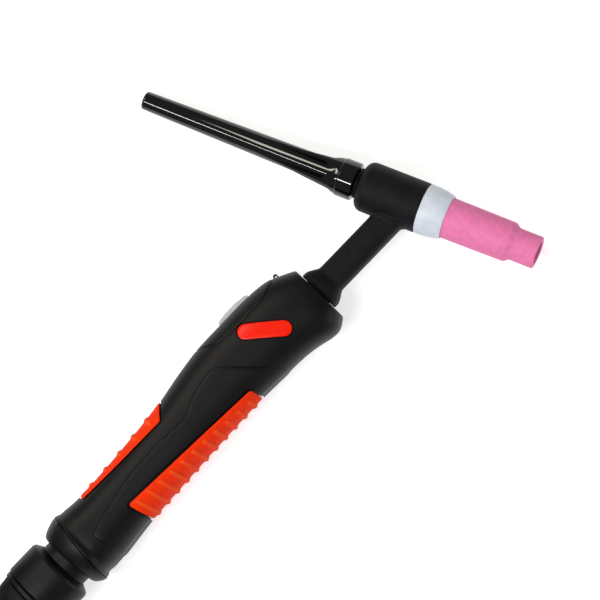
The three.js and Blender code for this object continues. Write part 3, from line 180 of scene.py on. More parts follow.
NECK_Y = 3.1
NECK_HEIGHT = 14.4
NECK_WIDTH = 12.5
NECK_TAIL_X = TRIGGER_X + SWITCH_LENGTH / 2 + LEG_THICKNESS + 2 * GAP
COLLAR_REAR_X = HANDLE_FRONT_X + 0.2
COLLAR_LENGTH = 8.9
COLLAR_HEIGHT = 20.7
COLLAR_WIDTH = 18
NECK_FLANGE = (19, 17, 3.7)  # height, width and thickness
NECK_POINTS = 112  # points of a ring of the neck
NECK_FRAME = ((205.9, 3.6), 23.4, 5.0, 0)  # centre, length, width and turn of the raised line on the neck
COLLAR_FLARE = [(0.08, 1), (0.3, 0.95), (0.5, 0.72), (0.72, 0.36), (0.9, 0.06), (1, 0)]
HEAD_FILLET = 1.5
HEAD_FILLET_RISE = 1.1
TUBE_R = 4
HEAD_R = 12.2
HEAD_REAR = -22.9
HEAD_FRONT = 8.3
CORE_R = 8.5
CORE_BORE_R = 6
HOSE_R = 5.5
HOSE_REAR_X = 24
NUT_REAR_X = 104
WIRE_R = 1.2

GASKET_REAR = HEAD_FRONT + GAP
GASKET_FRONT = HEAD_FRONT + 12.9
GASKET_FRONT_R = 10.7
CUP_REAR = GASKET_FRONT - 1.4
CUP_LENGTH = 47
CUP_REAR_R = 9.85
CUP_STEP_R = 9.6
CUP_TIP_R = 7.85
CUP_TIP_LENGTH = 11.2
CUP_STEP_LENGTH = 3.6
CUP_BORE_R = 5.7
CUP_THREAD_R = 7
CUP_RIM = (0.9, 0.8)  # rounding of the rim's outer and inner edge
COLLET_FLANGE = 1.7
COLLET_BODY_R = 6.6
COLLET_BODY_LENGTH = 42
CAP_SEAT = HEAD_REAR - 2.3
CAP_LENGTH = 109.5
CAP_RING_R = 9.3
CAP_RING_LENGTH = 8
CAP_WING_R = 8.9
CAP_WING_LENGTH = 42
CAP_SHAFT_R = 6.3
CAP_TIP_R = 4.5
CAP_TIP_ROUND = 1.2
O_RING = (HEAD_REAR - 1.15, 6.6, 0.85)  # place, radius and half thickness
CAP_STUB_R = 4.7
CAP_STUB_LENGTH = 12
FLUTES = [(0, 11), (97, 8.4), (187, 8.4), (277, 8.4)]  # turn from the trigger's side in degrees, and width
FLUTE_RAMP = 8.4  # length of the ramp that ends a flute

LEAD_D = 12
LEAD_R = LEAD_D / 2
COIL_X = -112.3
COIL_INNER_R = 47
COIL_PITCH = 12.7
COIL_TURNS = 8.5
COIL_OUTER_R = COIL_INNER_R + COIL_PITCH * COIL_TURNS / 2
COIL_BOTTOM = 7.3
COIL_TOP = COIL_BOTTOM + COIL_PITCH
LEAD_POINTS = [(-70.3, 0, 18.9), (-75, 0, 18.9), (-81, 0, 19.1), (-87, 0, 19.5), (-92, 0, 19.8), (-96.5, 0, 19.97),
               (-100, 0, 20.0)]
LEAD_END_POINTS = [(-100, 201.95, 7.3), (-94, 201.7, 7.4), (-85, 200.1, 8.1), (-76, 197.1, 9.5), (-68, 194.2, 11.1),
                   (-61, 192.2, 12.3), (-56, 191.7, 12.5), (-50.3, 191.7, 12.5)]
GAS_POINTS = [(-10.3, 175.6, 12.5), (-3, 171.1, 12.3), (7, 166.3, 10.6), (18, 163.1, 7.3), (30, 161.7, 4.4),
              (42, 161.2, 3.1), (52, 161.2, 3.0), (64, 161.2, 4.0), (75, 161.2, 5.7), (84, 161.2, 6.8),
              (91, 161.2, 6.95)]
CONTROL_POINTS = [(-10.3, 207.8, 12.5), (-3, 211.9, 12.1), (7, 214.6, 9.9), (18, 215.1, 6.4), (30, 214.3, 3.7),
                  (40, 213, 2.6), (50, 211.7, 2.5), (60, 210.7, 3.6), (72, 210, 6.6), (81, 209.7, 8.2),
                  (88, 209.7, 8.5)]
GAS_D = 6
CONTROL_D = 5
PLUG = (-50, 191.7, 12.5)
PLUG_BOOT_LENGTH = 48
PLUG_SLEEVE_LENGTH = 34
PIN_R = 4.5
PIN_LENGTH = 21

# Each lamp's place beside and above the aim and towards the camera in metres, the lengths of its sides and its colour.
LAMPS = [("key", (-0.68, -0.27, 1.15), (0.9, 0.09), (0.96, 0.98, 1.0)),
         ("fill", (-0.8, 0.6, 0.8), (0.35, 0.35), (1.0, 0.92, 0.8)),
         ("rim", (0.95, -0.25, 0.45), (0.6, 0.3), (0.9, 0.95, 1.0))]
RIM_SHARE = 0.6  # the rim lamp's power as a share of the fill lamp's

# ---- Settings ---------------------------------------------------------------------------------------------------


class TorchGripSettings(bpy.types.PropertyGroup):
    """The orange inserts and the raised panel of the handle."""

    palm_ribs: IntProperty(name="Palm ribs", description="Ribs on the palm insert", default=11, min=3, max=20)
    palm_first: FloatProperty(name="First palm rib", description="Place of the rearmost palm rib along the handle",
                              default=0.0476, unit="LENGTH")
    palm_pitch: FloatProperty(name="Palm rib pitch", description="Distance from palm rib to palm rib",
                              default=0.0067, unit="LENGTH")
    palm_height: FloatProperty(name="Palm rib height", description="How far a palm rib stands up",
                               default=0.00095, unit="LENGTH")
    finger_ribs: IntProperty(name="Finger ribs", description="Ribs on the finger insert", default=5, min=2, max=12)
    finger_first: FloatProperty(name="First finger rib", description="Place of the rearmost finger rib",
                                default=0.0351, unit="LENGTH")
    finger_pitch: FloatProperty(name="Finger rib pitch", description="Distance from finger rib to finger rib",
                                default=0.00987, unit="LENGTH")
    finger_height: FloatProperty(name="Finger rib height", description="How far a finger rib stands up",
                                 default=0.0008, unit="LENGTH")
    proud: FloatProperty(name="Insert height", description="How far an insert stands out of the shell",
                         default=0.00025, unit="LENGTH")
    panel: FloatProperty(name="Panel height", description="Step of the raised side panel",
                         default=0.00035, unit="LENGTH")


class TorchFinishSettings(bpy.types.PropertyGroup):
    """The colours of the torch."""

    nylon: FloatVectorProperty(name="Handle", description="Black of the moulded handle", subtype="COLOR", size=3,
                               default=(0.0038, 0.0035, 0.0037), min=0, max=1)
    rubber: FloatVectorProperty(name="Head", description="Black of the moulded head and neck", subtype="COLOR",
                                size=3, default=(0.0062, 0.006, 0.0075), min=0, max=1)
    gloss: FloatVectorProperty(name="Back cap", description="Black of the polished back cap", subtype="COLOR",
                               size=3, default=(0.003, 0.003, 0.0035), min=0, max=1)
    grip: FloatVectorProperty(name="Inserts", description="Orange of the grip inserts", subtype="COLOR", size=3,
                              default=(1.0, 0.036, 0.0), min=0, max=1)
    badge: FloatVectorProperty(name="Badge", description="Orange of the bare badge", subtype="COLOR", size=3,
                               default=(1.0, 0.014, 0.0), min=0, max=1)
    button: FloatVectorProperty(name="Trigger", description="Grey of the trigger", subtype="COLOR", size=3,
                                default=(0.55, 0.56, 0.61), min=0, max=1)
    gasket: FloatVectorProperty(name="Gasket", description="White of the cup gasket", subtype="COLOR", size=3,
                                default=(0.76, 0.80, 0.86), min=0, max=1)
    cup: FloatVectorProperty(name="Cup", description="Pink of the alumina cup", subtype="COLOR", size=3,
                             default=(0.95, 0.225, 0.48), min=0, max=1)


class TorchStageSettings(bpy.types.PropertyGroup):
    """The camera and the lamps."""

    aim: FloatVectorProperty(name="Aim", description="Point that the camera looks at: along and across the handle",
                             size=2, default=(0.164845, 0.0067254), unit="LENGTH")
    distance: FloatProperty(name="Distance", description="From the aim to the camera", default=1.8, unit="LENGTH")
    lens: FloatProperty(name="Lens", description="Focal length in millimetres on a 36 mm sensor", default=231.11)
    tilt: FloatProperty(name="Tilt", description="Turn of the view about the handle's axis",
                        default=math.radians(11), subtype="ANGLE")
    roll: FloatProperty(name="Roll", description="Turn of the picture about the view's axis",
                        default=math.radians(46.0196), subtype="ANGLE")
    key: FloatProperty(name="Key lamp", description="Power of the key lamp in watts", default=11.0)
    fill: FloatProperty(name="Fill lamp", description="Power of the fill lamp in watts", default=4.6)
    sky: FloatProperty(name="Room", description="Strength of the light from all round", default=0.22)


def mm(length):
    """A setting's length in the frames' millimetres."""
    return length * 1000


# ---- Curves and outlines ----------------------------------------------------------------------------------------


def smooth_step(low, high, value):
    share = min(1.0, max(0.0, (value - low) / (high - low)))
    return share * share * (3 - 2 * share)


def curve_through(pairs):
    """A smooth function through (x, value) pairs."""
    last = len(pairs) - 1
    slope = []
    for i in range(last + 1):
        (px, pv), (nx, nv) = pairs[max(i - 1, 0)], pairs[min(i + 1, last)]
        slope.append((nv - pv) / (nx - px))

    def value(at):
        x = min(max(at, pairs[0][0]), pairs[last][0])
        i = max(1, next(k for k in range(last + 1) if pairs[k][0] >= x))
        (x0, v0), (x1, v1) = pairs[i - 1], pairs[i]
        w, t = x1 - x0, (x - x0) / (x1 - x0)
        return (v0 * (1 + 2 * t) * (1 - t) ** 2 + v1 * t * t * (3 - 2 * t)
                + slope[i - 1] * w * t * (1 - t) ** 2 - slope[i] * w * t * t * (1 - t))

    return value


def rounded(outline, radius, steps=4, closed=True):
    """An outline with its corners rounded; the ends of an open one stay."""
    result = []
    count = len(outline)
    for i, corner in enumerate(outline):
        if not closed and i in (0, count - 1):
            result.append(tuple(corner))
            continue
        here = Vector(corner)
        before, after = Vector(outline[i - 1]) - here, Vector(outline[(i + 1) % count]) - here
        reach = min(radius, before.length * 0.45, after.length * 0.45)
        if reach < 1e-4 or abs(before.angle(after) - math.pi) < 0.05:
            result.append(tuple(corner))
            continue
        start, end = here + before.normalized() * reach, here + after.normalized() * reach
        for k in range(steps + 1):
            t = k / steps
            result.append(tuple(start * (1 - t) ** 2 + here * (2 * t * (1 - t)) + end * t * t))
    return result


def grown(outline, distance):
    """An outline moved outwards by a distance, corner by corner."""
    count = len(outline)
    area = sum(a[0] * b[1] - b[0] * a[1] for a, b in zip(outline, outline[1:] + outline[:1]))
    turn = math.copysign(1, area)
    result = []
    for i, (x, y) in enumerate(outline):
        (px, py), (nx, ny) = outline[i - 1], outline[(i + 1) % count]
        before = Vector((y - py, px - x)).normalized()
        after = Vector((ny - y, x - nx)).normalized()
        corner = (before + after).normalized()
        reach = turn * distance / max(corner.dot(after), 0.5)
        result.append((x + corner.x * reach, y + corner.y * reach))
    return result


def pill(centre, length, width, angle, steps=14):
    """A pill-shaped outline."""
    points = []
    for side in (1, -1):
        for i in range(steps + 1):
            turn = -side * math.pi / 2 + math.pi * i / steps
            x = side * (length - width) / 2 + width / 2 * math.cos(turn)
            y = width / 2 * math.sin(turn)
            points.append((centre[0] + x * math.cos(angle) - y * math.sin(angle),
                           centre[1] + x * math.sin(angle) + y * math.cos(angle)))
    return points


def oblong(x0, x1, y0, y1):
    return [(x0, y0), (x1, y0), (x1, y1), (x0, y1)]


def arc(x, y, radius, start, end, steps):
    """Points on a circle about (x, y), from one angle to another."""
    turns = [start + (end - start) * k / steps for k in range(steps + 1)]
    return [(x + radius * math.cos(turn), y + radius * math.sin(turn)) for turn in turns]


def depth_inside(outline, x, y):
    """How far a point lies inside an outline; negative outside."""
    best = 1e9
    inside = False
    for (ax, ay), (bx, by) in zip(outline, outline[1:] + outline[:1]):
        dx, dy = bx - ax, by - ay
        share = min(1.0, max(0.0, ((x - ax) * dx + (y - ay) * dy) / (dx * dx + dy * dy + 1e-12)))
        best = min(best, (x - ax - share * dx) ** 2 + (y - ay - share * dy) ** 2)
        if (ay > y) != (by > y) and x < (bx - ax) * (y - ay) / (by - ay) + ax:
            inside = not inside
    return math.sqrt(best) if inside else -math.sqrt(best)


def route(points, step):
    """Even points on a smooth curve through a few chosen ones."""
    path = [Vector(p) for p in points]
    path = [path[0] * 2 - path[1], *path, path[-1] * 2 - path[-2]]
    fine = []
    for p0, p1, p2, p3 in zip(path, path[1:], path[2:], path[3:]):
        t0 = 0
        t1 = t0 + (p1 - p0).length ** 0.5
        t2 = t1 + (p2 - p1).length ** 0.5
        t3 = t2 + (p3 - p2).length ** 0.5
        for k in range(24):
            t = t1 + (t2 - t1) * k / 24
            a1 = p0 * ((t1 - t) / (t1 - t0)) + p1 * ((t - t0) / (t1 - t0))
            a2 = p1 * ((t2 - t) / (t2 - t1)) + p2 * ((t - t1) / (t2 - t1))
            a3 = p2 * ((t3 - t) / (t3 - t2)) + p3 * ((t - t2) / (t3 - t2))
            b1 = a1 * ((t2 - t) / (t2 - t0)) + a2 * ((t - t0) / (t2 - t0))
            b2 = a2 * ((t3 - t) / (t3 - t1)) + a3 * ((t - t1) / (t3 - t1))
            fine.append(b1 * ((t2 - t) / (t2 - t1)) + b2 * ((t - t1) / (t2 - t1)))
    fine.append(path[-2])
    walked = [0]
    for a, b in zip(fine, fine[1:]):
        walked.append(walked[-1] + (b - a).length)
    count = max(4, round(walked[-1] / step))
    even = []
    at = 0
    for i in range(count + 1):
        target = walked[-1] * i / count
        while at < len(walked) - 2 and walked[at + 1] < target:
            at += 1
        share = (target - walked[at]) / (walked[at + 1] - walked[at])
        even.append(fine[at].lerp(fine[at + 1], min(1, share)))
    return even


# ---- Mesh helpers -----------------------------------------------------------------------------------------------


def outward(bm):
    bmesh.ops.recalc_face_normals(bm, faces=bm.faces)
    return bm


def fill_ends(bm):
    """Closes the open ends of a tube."""
    bmesh.ops.holes_fill(bm, edges=[edge for edge in bm.edges if edge.is_boundary], sides=0)
    return outward(bm)


def loft(rings, closed=False):
    """A skin over rings of equal count: a circle is laid on the first ring and extruded from ring to ring."""
    bm = bmesh.new()
    corner = bm.verts.layers.int.new("corner")
    made = bmesh.ops.create_circle(bm, segments=len(rings[0]), radius=1)["verts"]
    for i, vertex in enumerate(made):
        vertex[corner] = i
        vertex.co = rings[0][i]
    edges = list(bm.edges)
    for ring in rings[1:]:
        out = bmesh.ops.extrude_edge_only(bm, edges=edges)["geom"]
        fresh = {item for item in out if isinstance(item, bmesh.types.BMVert)}
        edges = [item for item in out if isinstance(item, bmesh.types.BMEdge)
                 and item.verts[0] in fresh and item.verts[1] in fresh]
        for vertex in fresh:
            vertex.co = ring[vertex[corner]]
    return outward(bm) if closed else fill_ends(bm)


def turned(profile, segments=96, closed=False):
    """A profile of (x, radius) pairs spun about the X axis. It starts and ends on the axis, or closes."""
    bm = bmesh.new()
    verts = [bm.verts.new((x, r, 0)) for x, r in profile]
    pairs = list(zip(verts, verts[1:])) + ([(verts[-1], verts[0])] if closed else [])
    edges = [bm.edges.new(pair) for pair in pairs]
    bmesh.ops.spin(bm, geom=verts + edges, cent=(0, 0, 0), axis=(1, 0, 0), dvec=(0, 0, 0),
                   angle=2 * math.pi, steps=segments, use_merge=True, use_normal_flip=False, use_duplicate=False)
    bmesh.ops.remove_doubles(bm, verts=bm.verts, dist=1e-4)
    return outward(bm)


def spun(outline, radius, steps, segments, closed=False):
    """A profile with rounded corners spun about the X axis."""
    return turned(rounded(outline, radius, steps, closed), segments, closed)


def rod(x0, x1, radius, segments):
    """A cylinder about the X axis."""
    return turned([(x0, 0), (x0, radius), (x1, radius), (x1, 0)], segments)


def prism(outline, low, high):
    """A side-view outline carried through from low to high."""
    bm = bmesh.new()
    face = bm.faces.new([bm.verts.new((x, y, low)) for x, y in outline])
    out = bmesh.ops.extrude_face_region(bm, geom=[face])["geom"]
    bmesh.ops.translate(bm, verts=[v for v in out if isinstance(v, bmesh.types.BMVert)], vec=(0, 0, high - low))
    return outward(bm)


def block(x0, x1, y0, y1, z0, z1):
    bm = bmesh.new()
    bmesh.ops.create_cube(bm, size=1)
    bmesh.ops.scale(bm, vec=(x1 - x0, y1 - y0, z1 - z0), verts=bm.verts)
    bmesh.ops.translate(bm, vec=((x0 + x1) / 2, (y0 + y1) / 2, (z0 + z1) / 2), verts=bm.verts)
    return bm


def post(x, y, radius, z0, z1, segments=32):
    """A cylinder along Z."""
    bm = bmesh.new()
    bmesh.ops.create_cone(bm, cap_ends=True, segments=segments, radius1=radius, radius2=radius, depth=z1 - z0)
    bmesh.ops.translate(bm, vec=(x, y, (z0 + z1) / 2), verts=bm.verts)
    return bm


def sphere(radius):
    """A ball on the handle's axis, its poles on the axis."""
    bm = bmesh.new()
    bmesh.ops.create_uvsphere(bm, u_segments=64, v_segments=40, radius=radius)
    return moved(bm, Matrix.Translation((BALL_X, 0, 0)) @ about("Y", 90))


def tube(points, radius, segments=20):
    """A round tube along points, held level."""
    rings = []
    for i, point in enumerate(points):
        along = (points[min(i + 1, len(points) - 1)] - points[max(i - 1, 0)]).normalized()
        side = Vector((0, 0, 1)).cross(along).normalized()
        over = along.cross(side)
        rings.append([point + side * (radius * math.cos(a)) + over * (radius * math.sin(a))
                      for a in (2 * math.pi * k / segments for k in range(segments))])
    return loft(rings)


def moved(bm, matrix):
    bm.transform(matrix)
    return bm


def joined(bodies):
    """Several meshes as one, each as it is."""
    whole = bmesh.new()
    for bm in bodies:
        mesh = bpy.data.meshes.new("part")
        bm.to_mesh(mesh)
        bm.free()
        whole.from_mesh(mesh)
        bpy.data.meshes.remove(mesh)
    return whole


def worked(body, tools, operation="DIFFERENCE"):
    """A body with tools cut from it (DIFFERENCE), joined to it (UNION) or kept in common (INTERSECT, one tool)."""
    scene = bpy.context.scene
    group = bpy.data.collections.new("tools")
    scene.collection.children.link(group)
    objects = []
    for bm in [body, *tools]:
        mesh = bpy.data.meshes.new("work")
        bm.to_mesh(mesh)
        bm.free()
        objects.append(bpy.data.objects.new("work", mesh))
    scene.collection.objects.link(objects[0])
    for tool in objects[1:]:
        group.objects.link(tool)
    modifier = objects[0].modifiers.new("work", "BOOLEAN")
    modifier.operation = operation
    modifier.solver = "EXACT"
    if len(tools) == 1:
        modifier.object = objects[1]
    else:
        modifier.operand_type = "COLLECTION"
        modifier.collection = group
    bpy.context.view_layer.update()
    evaluated = objects[0].evaluated_get(bpy.context.evaluated_depsgraph_get())
    result = bmesh.new()
    result.from_mesh(evaluated.data)
    if not result.faces:
        raise RuntimeError("a cut left nothing")
    for item in objects:
        mesh = item.data
        bpy.data.objects.remove(item)
        bpy.data.meshes.remove(mesh)
    bpy.data.collections.remove(group)
    return result


def bevelled(bm, width, angle=math.radians(40), segments=2):
    """A mesh with its sharper edges rounded."""
    edges = [e for e in bm.edges if e.is_manifold and e.calc_face_angle(0) > angle]
    bmesh.ops.bevel(bm, geom=edges, offset=width, offset_type="OFFSET", affect="EDGES", segments=segments,
                    profile=0.5, clamp_overlap=True, material=-1)
    return bm


def new_piece(name, bm, place, body, material, node, sharp=35, fields=None):
    """Puts a mesh into the world as a finished piece that replaces a node. Fields are named values of each point."""
    values = {key: [value(v.co) for v in bm.verts] for key, value in (fields or {}).items()}
    bm.transform(place)
    mesh = bpy.data.meshes.new(name)
    bm.to_mesh(mesh)
    bm.free()
    for key, numbers in values.items():
        mesh.attributes.new(key, "FLOAT", "POINT").data.foreach_set("value", numbers)
    mesh.shade_smooth()
    mesh.set_sharp_from_angle(angle=math.radians(sharp))
    mesh.materials.append(MATERIALS[material])
    piece = bpy.data.objects.new(name, mesh)
    bpy.context.scene.collection.objects.link(piece)
    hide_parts(node)
    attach(piece, body)


# ---- The handle's form ------------------------------------------------------------------------------------------

top_at = curve_through(HANDLE_TOP)
bottom_at = curve_through(HANDLE_BOTTOM)
half_width_at = curve_through(HANDLE_HALF_WIDTH)
PALM_INSERT = rounded(grown(PALM_OUTLINE, -BORDER), 1.8)
FINGER_INSERT = rounded(grown(FINGER_OUTLINE, -BORDER), 0.7)


def section(x, centre, half_height, half_width, power, count, relief=None):
    """A ring squarer than an ellipse, in the plane at x. A relief moves each point out by its own amount."""
    ring = []
    for i in range(count):
        turn = 2 * math.pi * (i + 0.5) / count
        c, s = math.cos(turn), math.sin(turn)
        across = math.copysign(abs(c) ** (2 / power), c)
        up = math.copysign(abs(s) ** (2 / power), s)
        y, z = centre + across * half_height, up * half_width
        if relief:
            extra = relief(x, y, z)
            y, z = y + across * extra, z + up * extra
        ring.append((x, y, z))
    return ring


def handle_form(offset, start, end, step, count, relief=None):
    """The handle's form between two places, its surface moved out by an offset."""
    steps = max(1, round((end - start) / step))
    xs = [start + (end - start) * i / steps for i in range(steps + 1)]
    if step < 1 and start < FINE_END_X:
        xs = sorted(xs + [start + FINE_STEP * i for i in range(1, int((FINE_END_X - start) / FINE_STEP))])
    if end > HANDLE_FRONT_X - 0.01:
        xs = [x for x in xs if x < HANDLE_FRONT_X - FRONT_ROUND]
        xs += [HANDLE_FRONT_X - FRONT_ROUND * (1 - math.sin(math.pi / 2 * k / 7)) for k in range(8)]
    rings = []
    for x in xs:
        into = max(0.0, 1 - (HANDLE_FRONT_X - x) / FRONT_ROUND)
        inset = FRONT_ROUND * (1 - math.sqrt(max(0.0, 1 - into * into)))
        top, bottom = top_at(x), bottom_at(x)
        rings.append(section(x, (top + bottom) / 2, (top - bottom) / 2 + offset - inset,
                             half_width_at(x) + offset - inset, SECTION_POWER, count, relief))
    return loft(rings)


def skin(outline, depth, start, end, step, count, relief=None, z0=-30, z1=30):
    """A piece of the handle's skin inside an outline, with a wall of a given depth."""
    outside = handle_form(0, start, end, step, count, relief)
    inside = handle_form(-depth, start - 3, end + 3, 4, 48)
    return worked(worked(outside, [prism(outline, z0, z1)], "INTERSECT"), [inside])


def pocket(outline, depth, z0=-30, z1=30):
    """What is cut from the handle to let a piece of skin in."""
    lowest, highest = min(x for x, _ in outline) - 4, max(x for x, _ in outline) + 4
    floor = handle_form(-depth - GAP, lowest, highest, 4, 48)
    return worked(prism(grown(outline, GAP), z0, z1), [floor])


def behind_seam(offset):
    """Everything behind the slanted seam between ring and handle."""
    slant = Matrix.Rotation(-RING_SEAM_TILT, 4, "Z")
    return moved(block(-90, 0, -90, 90, -90, 90), Matrix.Translation((RING_SEAM_X + offset, 0, 0)) @ slant)


def neck_ring(x, height, width, extra=0, relief=None, count=NECK_POINTS):
    return section(x, NECK_Y, height / 2 + extra, width / 2 + extra, 3, count, relief)


# ---- Materials --------------------------------------------------------------------------------------------------


class Value:
    """A socket in an expression: the arithmetic on it adds Math nodes."""

    def __init__(self, tree, socket):
        self.tree = tree
        self.socket = socket

    def maths(self, operation, *others, reflected=False):
        node = self.tree.nodes.new("ShaderNodeMath")
        node.operation = operation
        for place, item in enumerate([*others, self] if reflected else [self, *others]):
            plug(self.tree, node.inputs[place], item)
        return Value(self.tree, node.outputs[0])

    def __add__(self, other):
        return self.maths("ADD", other)

    def __sub__(self, other):
        return self.maths("SUBTRACT", other)

    def __rsub__(self, other):
        return self.maths("SUBTRACT", other, reflected=True)

    def __mul__(self, other):
        return self.maths("MULTIPLY", other)

    def __abs__(self):
        return self.maths("ABSOLUTE")

    __radd__ = __add__
    __rmul__ = __mul__

    def step(self, low, high):
        """0 below low, 1 above high, smooth between."""
        node = self.tree.nodes.new("ShaderNodeMapRange")
        node.interpolation_type = "SMOOTHSTEP"
        for key, item in (("Value", self), ("From Min", low), ("From Max", high)):
            plug(self.tree, node.inputs[key], item)
        return Value(self.tree, node.outputs["Result"])


def plug(tree, socket, item):
    """Sets a socket to a number or colour, or links it."""
    if isinstance(item, Value):
        tree.links.new(item.socket, socket)
    elif hasattr(item, "__len__") and len(item) == 3 and socket.type == "RGBA":
        socket.default_value = (*item, 1)
    else:
        socket.default_value = item


class Finish:
    """One material: a Principled shader and the nodes that feed it."""

    def __init__(self, name, **constants):
        self.material = bpy.data.materials.new(name)
        self.material.use_nodes = True
        self.tree = self.material.node_tree
        self.shader = self.tree.nodes["Principled BSDF"]
        self.feed(**constants)

    def feed(self, **sockets):
        """Sets or links the shader's sockets; a name's underscores stand for spaces."""
        for key, item in sockets.items():
            plug(self.tree, self.shader.inputs[key.replace("_", " ")], item)

    def node(self, kind, settings=None, inputs=None, output=0):
        """A node: its settings first, then the values or links of its sockets."""
        made = self.tree.nodes.new("ShaderNode" + kind)
        for key, item in (settings or {}).items():
            setattr(made, key, item)
        for key, item in (inputs or {}).items():
            plug(self.tree, made.inputs[key], item)
        return Value(self.tree, made.outputs[output])

    def place(self):
        """Where a point is, in metres."""
        return self.node("TexCoord", output="Object")

    def noise(self, size, detail=2.0, rough=0.5):
        """A cloudy pattern whose features are about size metres wide."""
        return self.node("TexNoise", inputs={"Vector": self.place(), "Scale": 1 / size, "Detail": detail,
                                             "Roughness": rough})

    def field(self, name):
        """A value that a piece keeps at each point."""
        return self.node("Attribute", {"attribute_name": name}, output="Fac")

    def blend(self, factor, low, high):
        """From one colour to another."""
        return self.node("Mix", {"data_type": "RGBA"}, {0: factor, 6: low, 7: high}, output=2)

    def bump(self, height, metres, strength=1.0, below=None):
        """Relief: height 1 stands up by a number of metres."""
        inputs = {"Height": height, "Distance": metres, "Strength": strength}
        if below:
            inputs["Normal"] = below
        return self.node("Bump", inputs=inputs)


def shade(colour, factor):
    """A colour made lighter or darker."""
    return tuple(min(1.0, max(0.0, channel * factor)) for channel in colour)


def moulded_nylon(name, colour, lines=False):
    """Black moulded nylon: spark-eroded grain and flow clouds. Lines adds the panel's groove with painted shade in it,
    and painted shade in the pockets and gaps below the surface.
    """
    finish = Finish(name, Specular_IOR_Level=0.18)
    grain = finish.noise(0.00045, detail=3, rough=0.6)
    clouds = finish.noise(0.011, detail=2)
    wear = finish.noise(0.0024, detail=4, rough=0.65)
    base = finish.blend(clouds.step(0.3, 0.7), shade(colour, 0.82), shade(colour, 1.18))
    base = finish.blend(wear.step(0.62, 0.8) * 0.35, base, shade(colour, 1.9))
    relief = finish.bump(grain, 0.00006, 0.55)
    if lines:
        groove = 1 - abs(finish.field("panel")).step(0.12, 0.42)
        shown = groove * finish.field("shown")
        relief = finish.bump(1 - shown, 0.0004, 0.9, below=relief)
        # Painted shade: the panel's groove line is darkened as if its wall stood in shade.
        base = finish.blend(shown * 0.75, base, shade(colour, 0.25))
        # Painted shade: everything half a millimetre or more below the surface, in pockets and gaps, is darkened.
        base = finish.blend(finish.field("sunk_shade"), base, shade(colour, 0.15))
    finish.feed(Base_Color=base, Roughness=0.36 + grain * 0.14 + clouds * 0.06, Normal=relief)
    return finish.material


def moulded_rubber(name, colour, roughness=0.5):
    """Black moulded rubber: matte, with a fine pebbled grain and a little bloom."""
    finish = Finish(name, Specular_IOR_Level=0.15)
    grain = finish.noise(0.00032, detail=3, rough=0.6)
    bloom = finish.noise(0.008, detail=3)
    base = finish.blend(bloom.step(0.35, 0.75), shade(colour, 0.85), shade(colour, 1.25))
    finish.feed(Base_Color=base, Roughness=roughness + grain * 0.16 + bloom * 0.05,
                Normal=finish.bump(grain, 0.00005, 0.55))
    return finish.material


def polished_black(name, colour):
    """Polished black phenolic: mirror gloss with the finest of polishing marks."""
    finish = Finish(name, Specular_IOR_Level=0.5)
    marks = finish.noise(0.0016, detail=5, rough=0.7)
    waves = finish.noise(0.006, detail=1)
    finish.feed(Base_Color=finish.blend(marks.step(0.3, 0.7), shade(colour, 0.8), shade(colour, 1.4)),
                Roughness=0.05 + marks.step(0.45, 0.9) * 0.05, Normal=finish.bump(waves, 0.00003, 0.25))
    return finish.material


def grip_rubber(name, colour):
    """Orange soft grip: matte, painted paler on the ribs' crests as a highlight, with fine grain."""
    finish = Finish(name, Specular_IOR_Level=0.12)
    grain = finish.noise(0.0004, detail=3, rough=0.6)
    clouds = finish.noise(0.004, detail=3)
    crest_highlight = 1 - finish.field("valley")
    base = finish.blend(clouds.step(0.3, 0.7), shade(colour, 0.92), colour)
    # Painted highlight: the rib crests are made paler orange, as if lit.
    base = finish.blend(crest_highlight.step(0.35, 1.0) * 0.8, base, (colour[0], colour[1] * 2.6, 0.008))
    finish.feed(Base_Color=base, Roughness=0.58 + grain * 0.14, Normal=finish.bump(grain, 0.00005, 0.5))
    return finish.material


def badge_lacquer(name, colour):
    """Bare orange badge: satin lacquer with a faint orange-peel surface."""
    finish = Finish(name, Specular_IOR_Level=0.18)
    peel = finish.noise(0.0012, detail=2)
    base = finish.blend(peel.step(0.35, 0.65), shade(colour, 0.95), colour)
    finish.feed(Base_Color=base, Roughness=0.3 + peel * 0.08, Normal=finish.bump(peel, 0.00003, 0.4))
    return finish.material


def button_plastic(name, colour):
    """Light grey button: satin moulded plastic with a handled sheen."""
    finish = Finish(name, Specular_IOR_Level=0.45)
    grain = finish.noise(0.0003, detail=3, rough=0.6)
    rubbed = finish.noise(0.005, detail=2)
    base = finish.blend(rubbed.step(0.3, 0.7), shade(colour, 0.9), shade(colour, 1.06))
    finish.feed(Base_Color=base, Roughness=0.34 + grain * 0.12 + rubbed * 0.06,
                Normal=finish.bump(grain, 0.00003, 0.5))
    return finish.material


def waxy_white(name, colour):
    """White fluoropolymer: waxy, with faint bluish clouds."""
    finish = Finish(name, Specular_IOR_Level=0.45)
    clouds = finish.noise(0.004, detail=3)
    grain = finish.noise(0.00035, detail=2)
    base = finish.blend(clouds.step(0.3, 0.7), (colour[0] * 0.93, colour[1] * 0.96, colour[2]), shade(colour, 1.05))
    finish.feed(Base_Color=base, Roughness=0.36 + grain * 0.14, Normal=finish.bump(grain, 0.00003, 0.45))
    return finish.material


def pressed_alumina(name, colour):
    """Pink unglazed alumina: chalky, with fine specks, pressing clouds and soft edges."""
    finish = Finish(name, Specular_IOR_Level=0.35)
    chalk = finish.noise(0.0028, detail=4, rough=0.6)
    specks = finish.noise(0.0004, detail=3, rough=0.7)
    base = finish.blend(chalk.step(0.3, 0.72), shade(colour, 0.92), shade(colour, 1.06))
    base = finish.blend(specks.step(0.62, 0.78) * 0.3, base, (0.96, 0.5, 0.68))
    base = finish.blend((1 - specks.step(0.24, 0.36)) * 0.25, base, shade(colour, 0.7))
    finish.feed(Base_Color=base, Roughness=0.5 + specks * 0.16, Normal=finish.bump(specks, 0.00005, 0.6))
    return finish.material


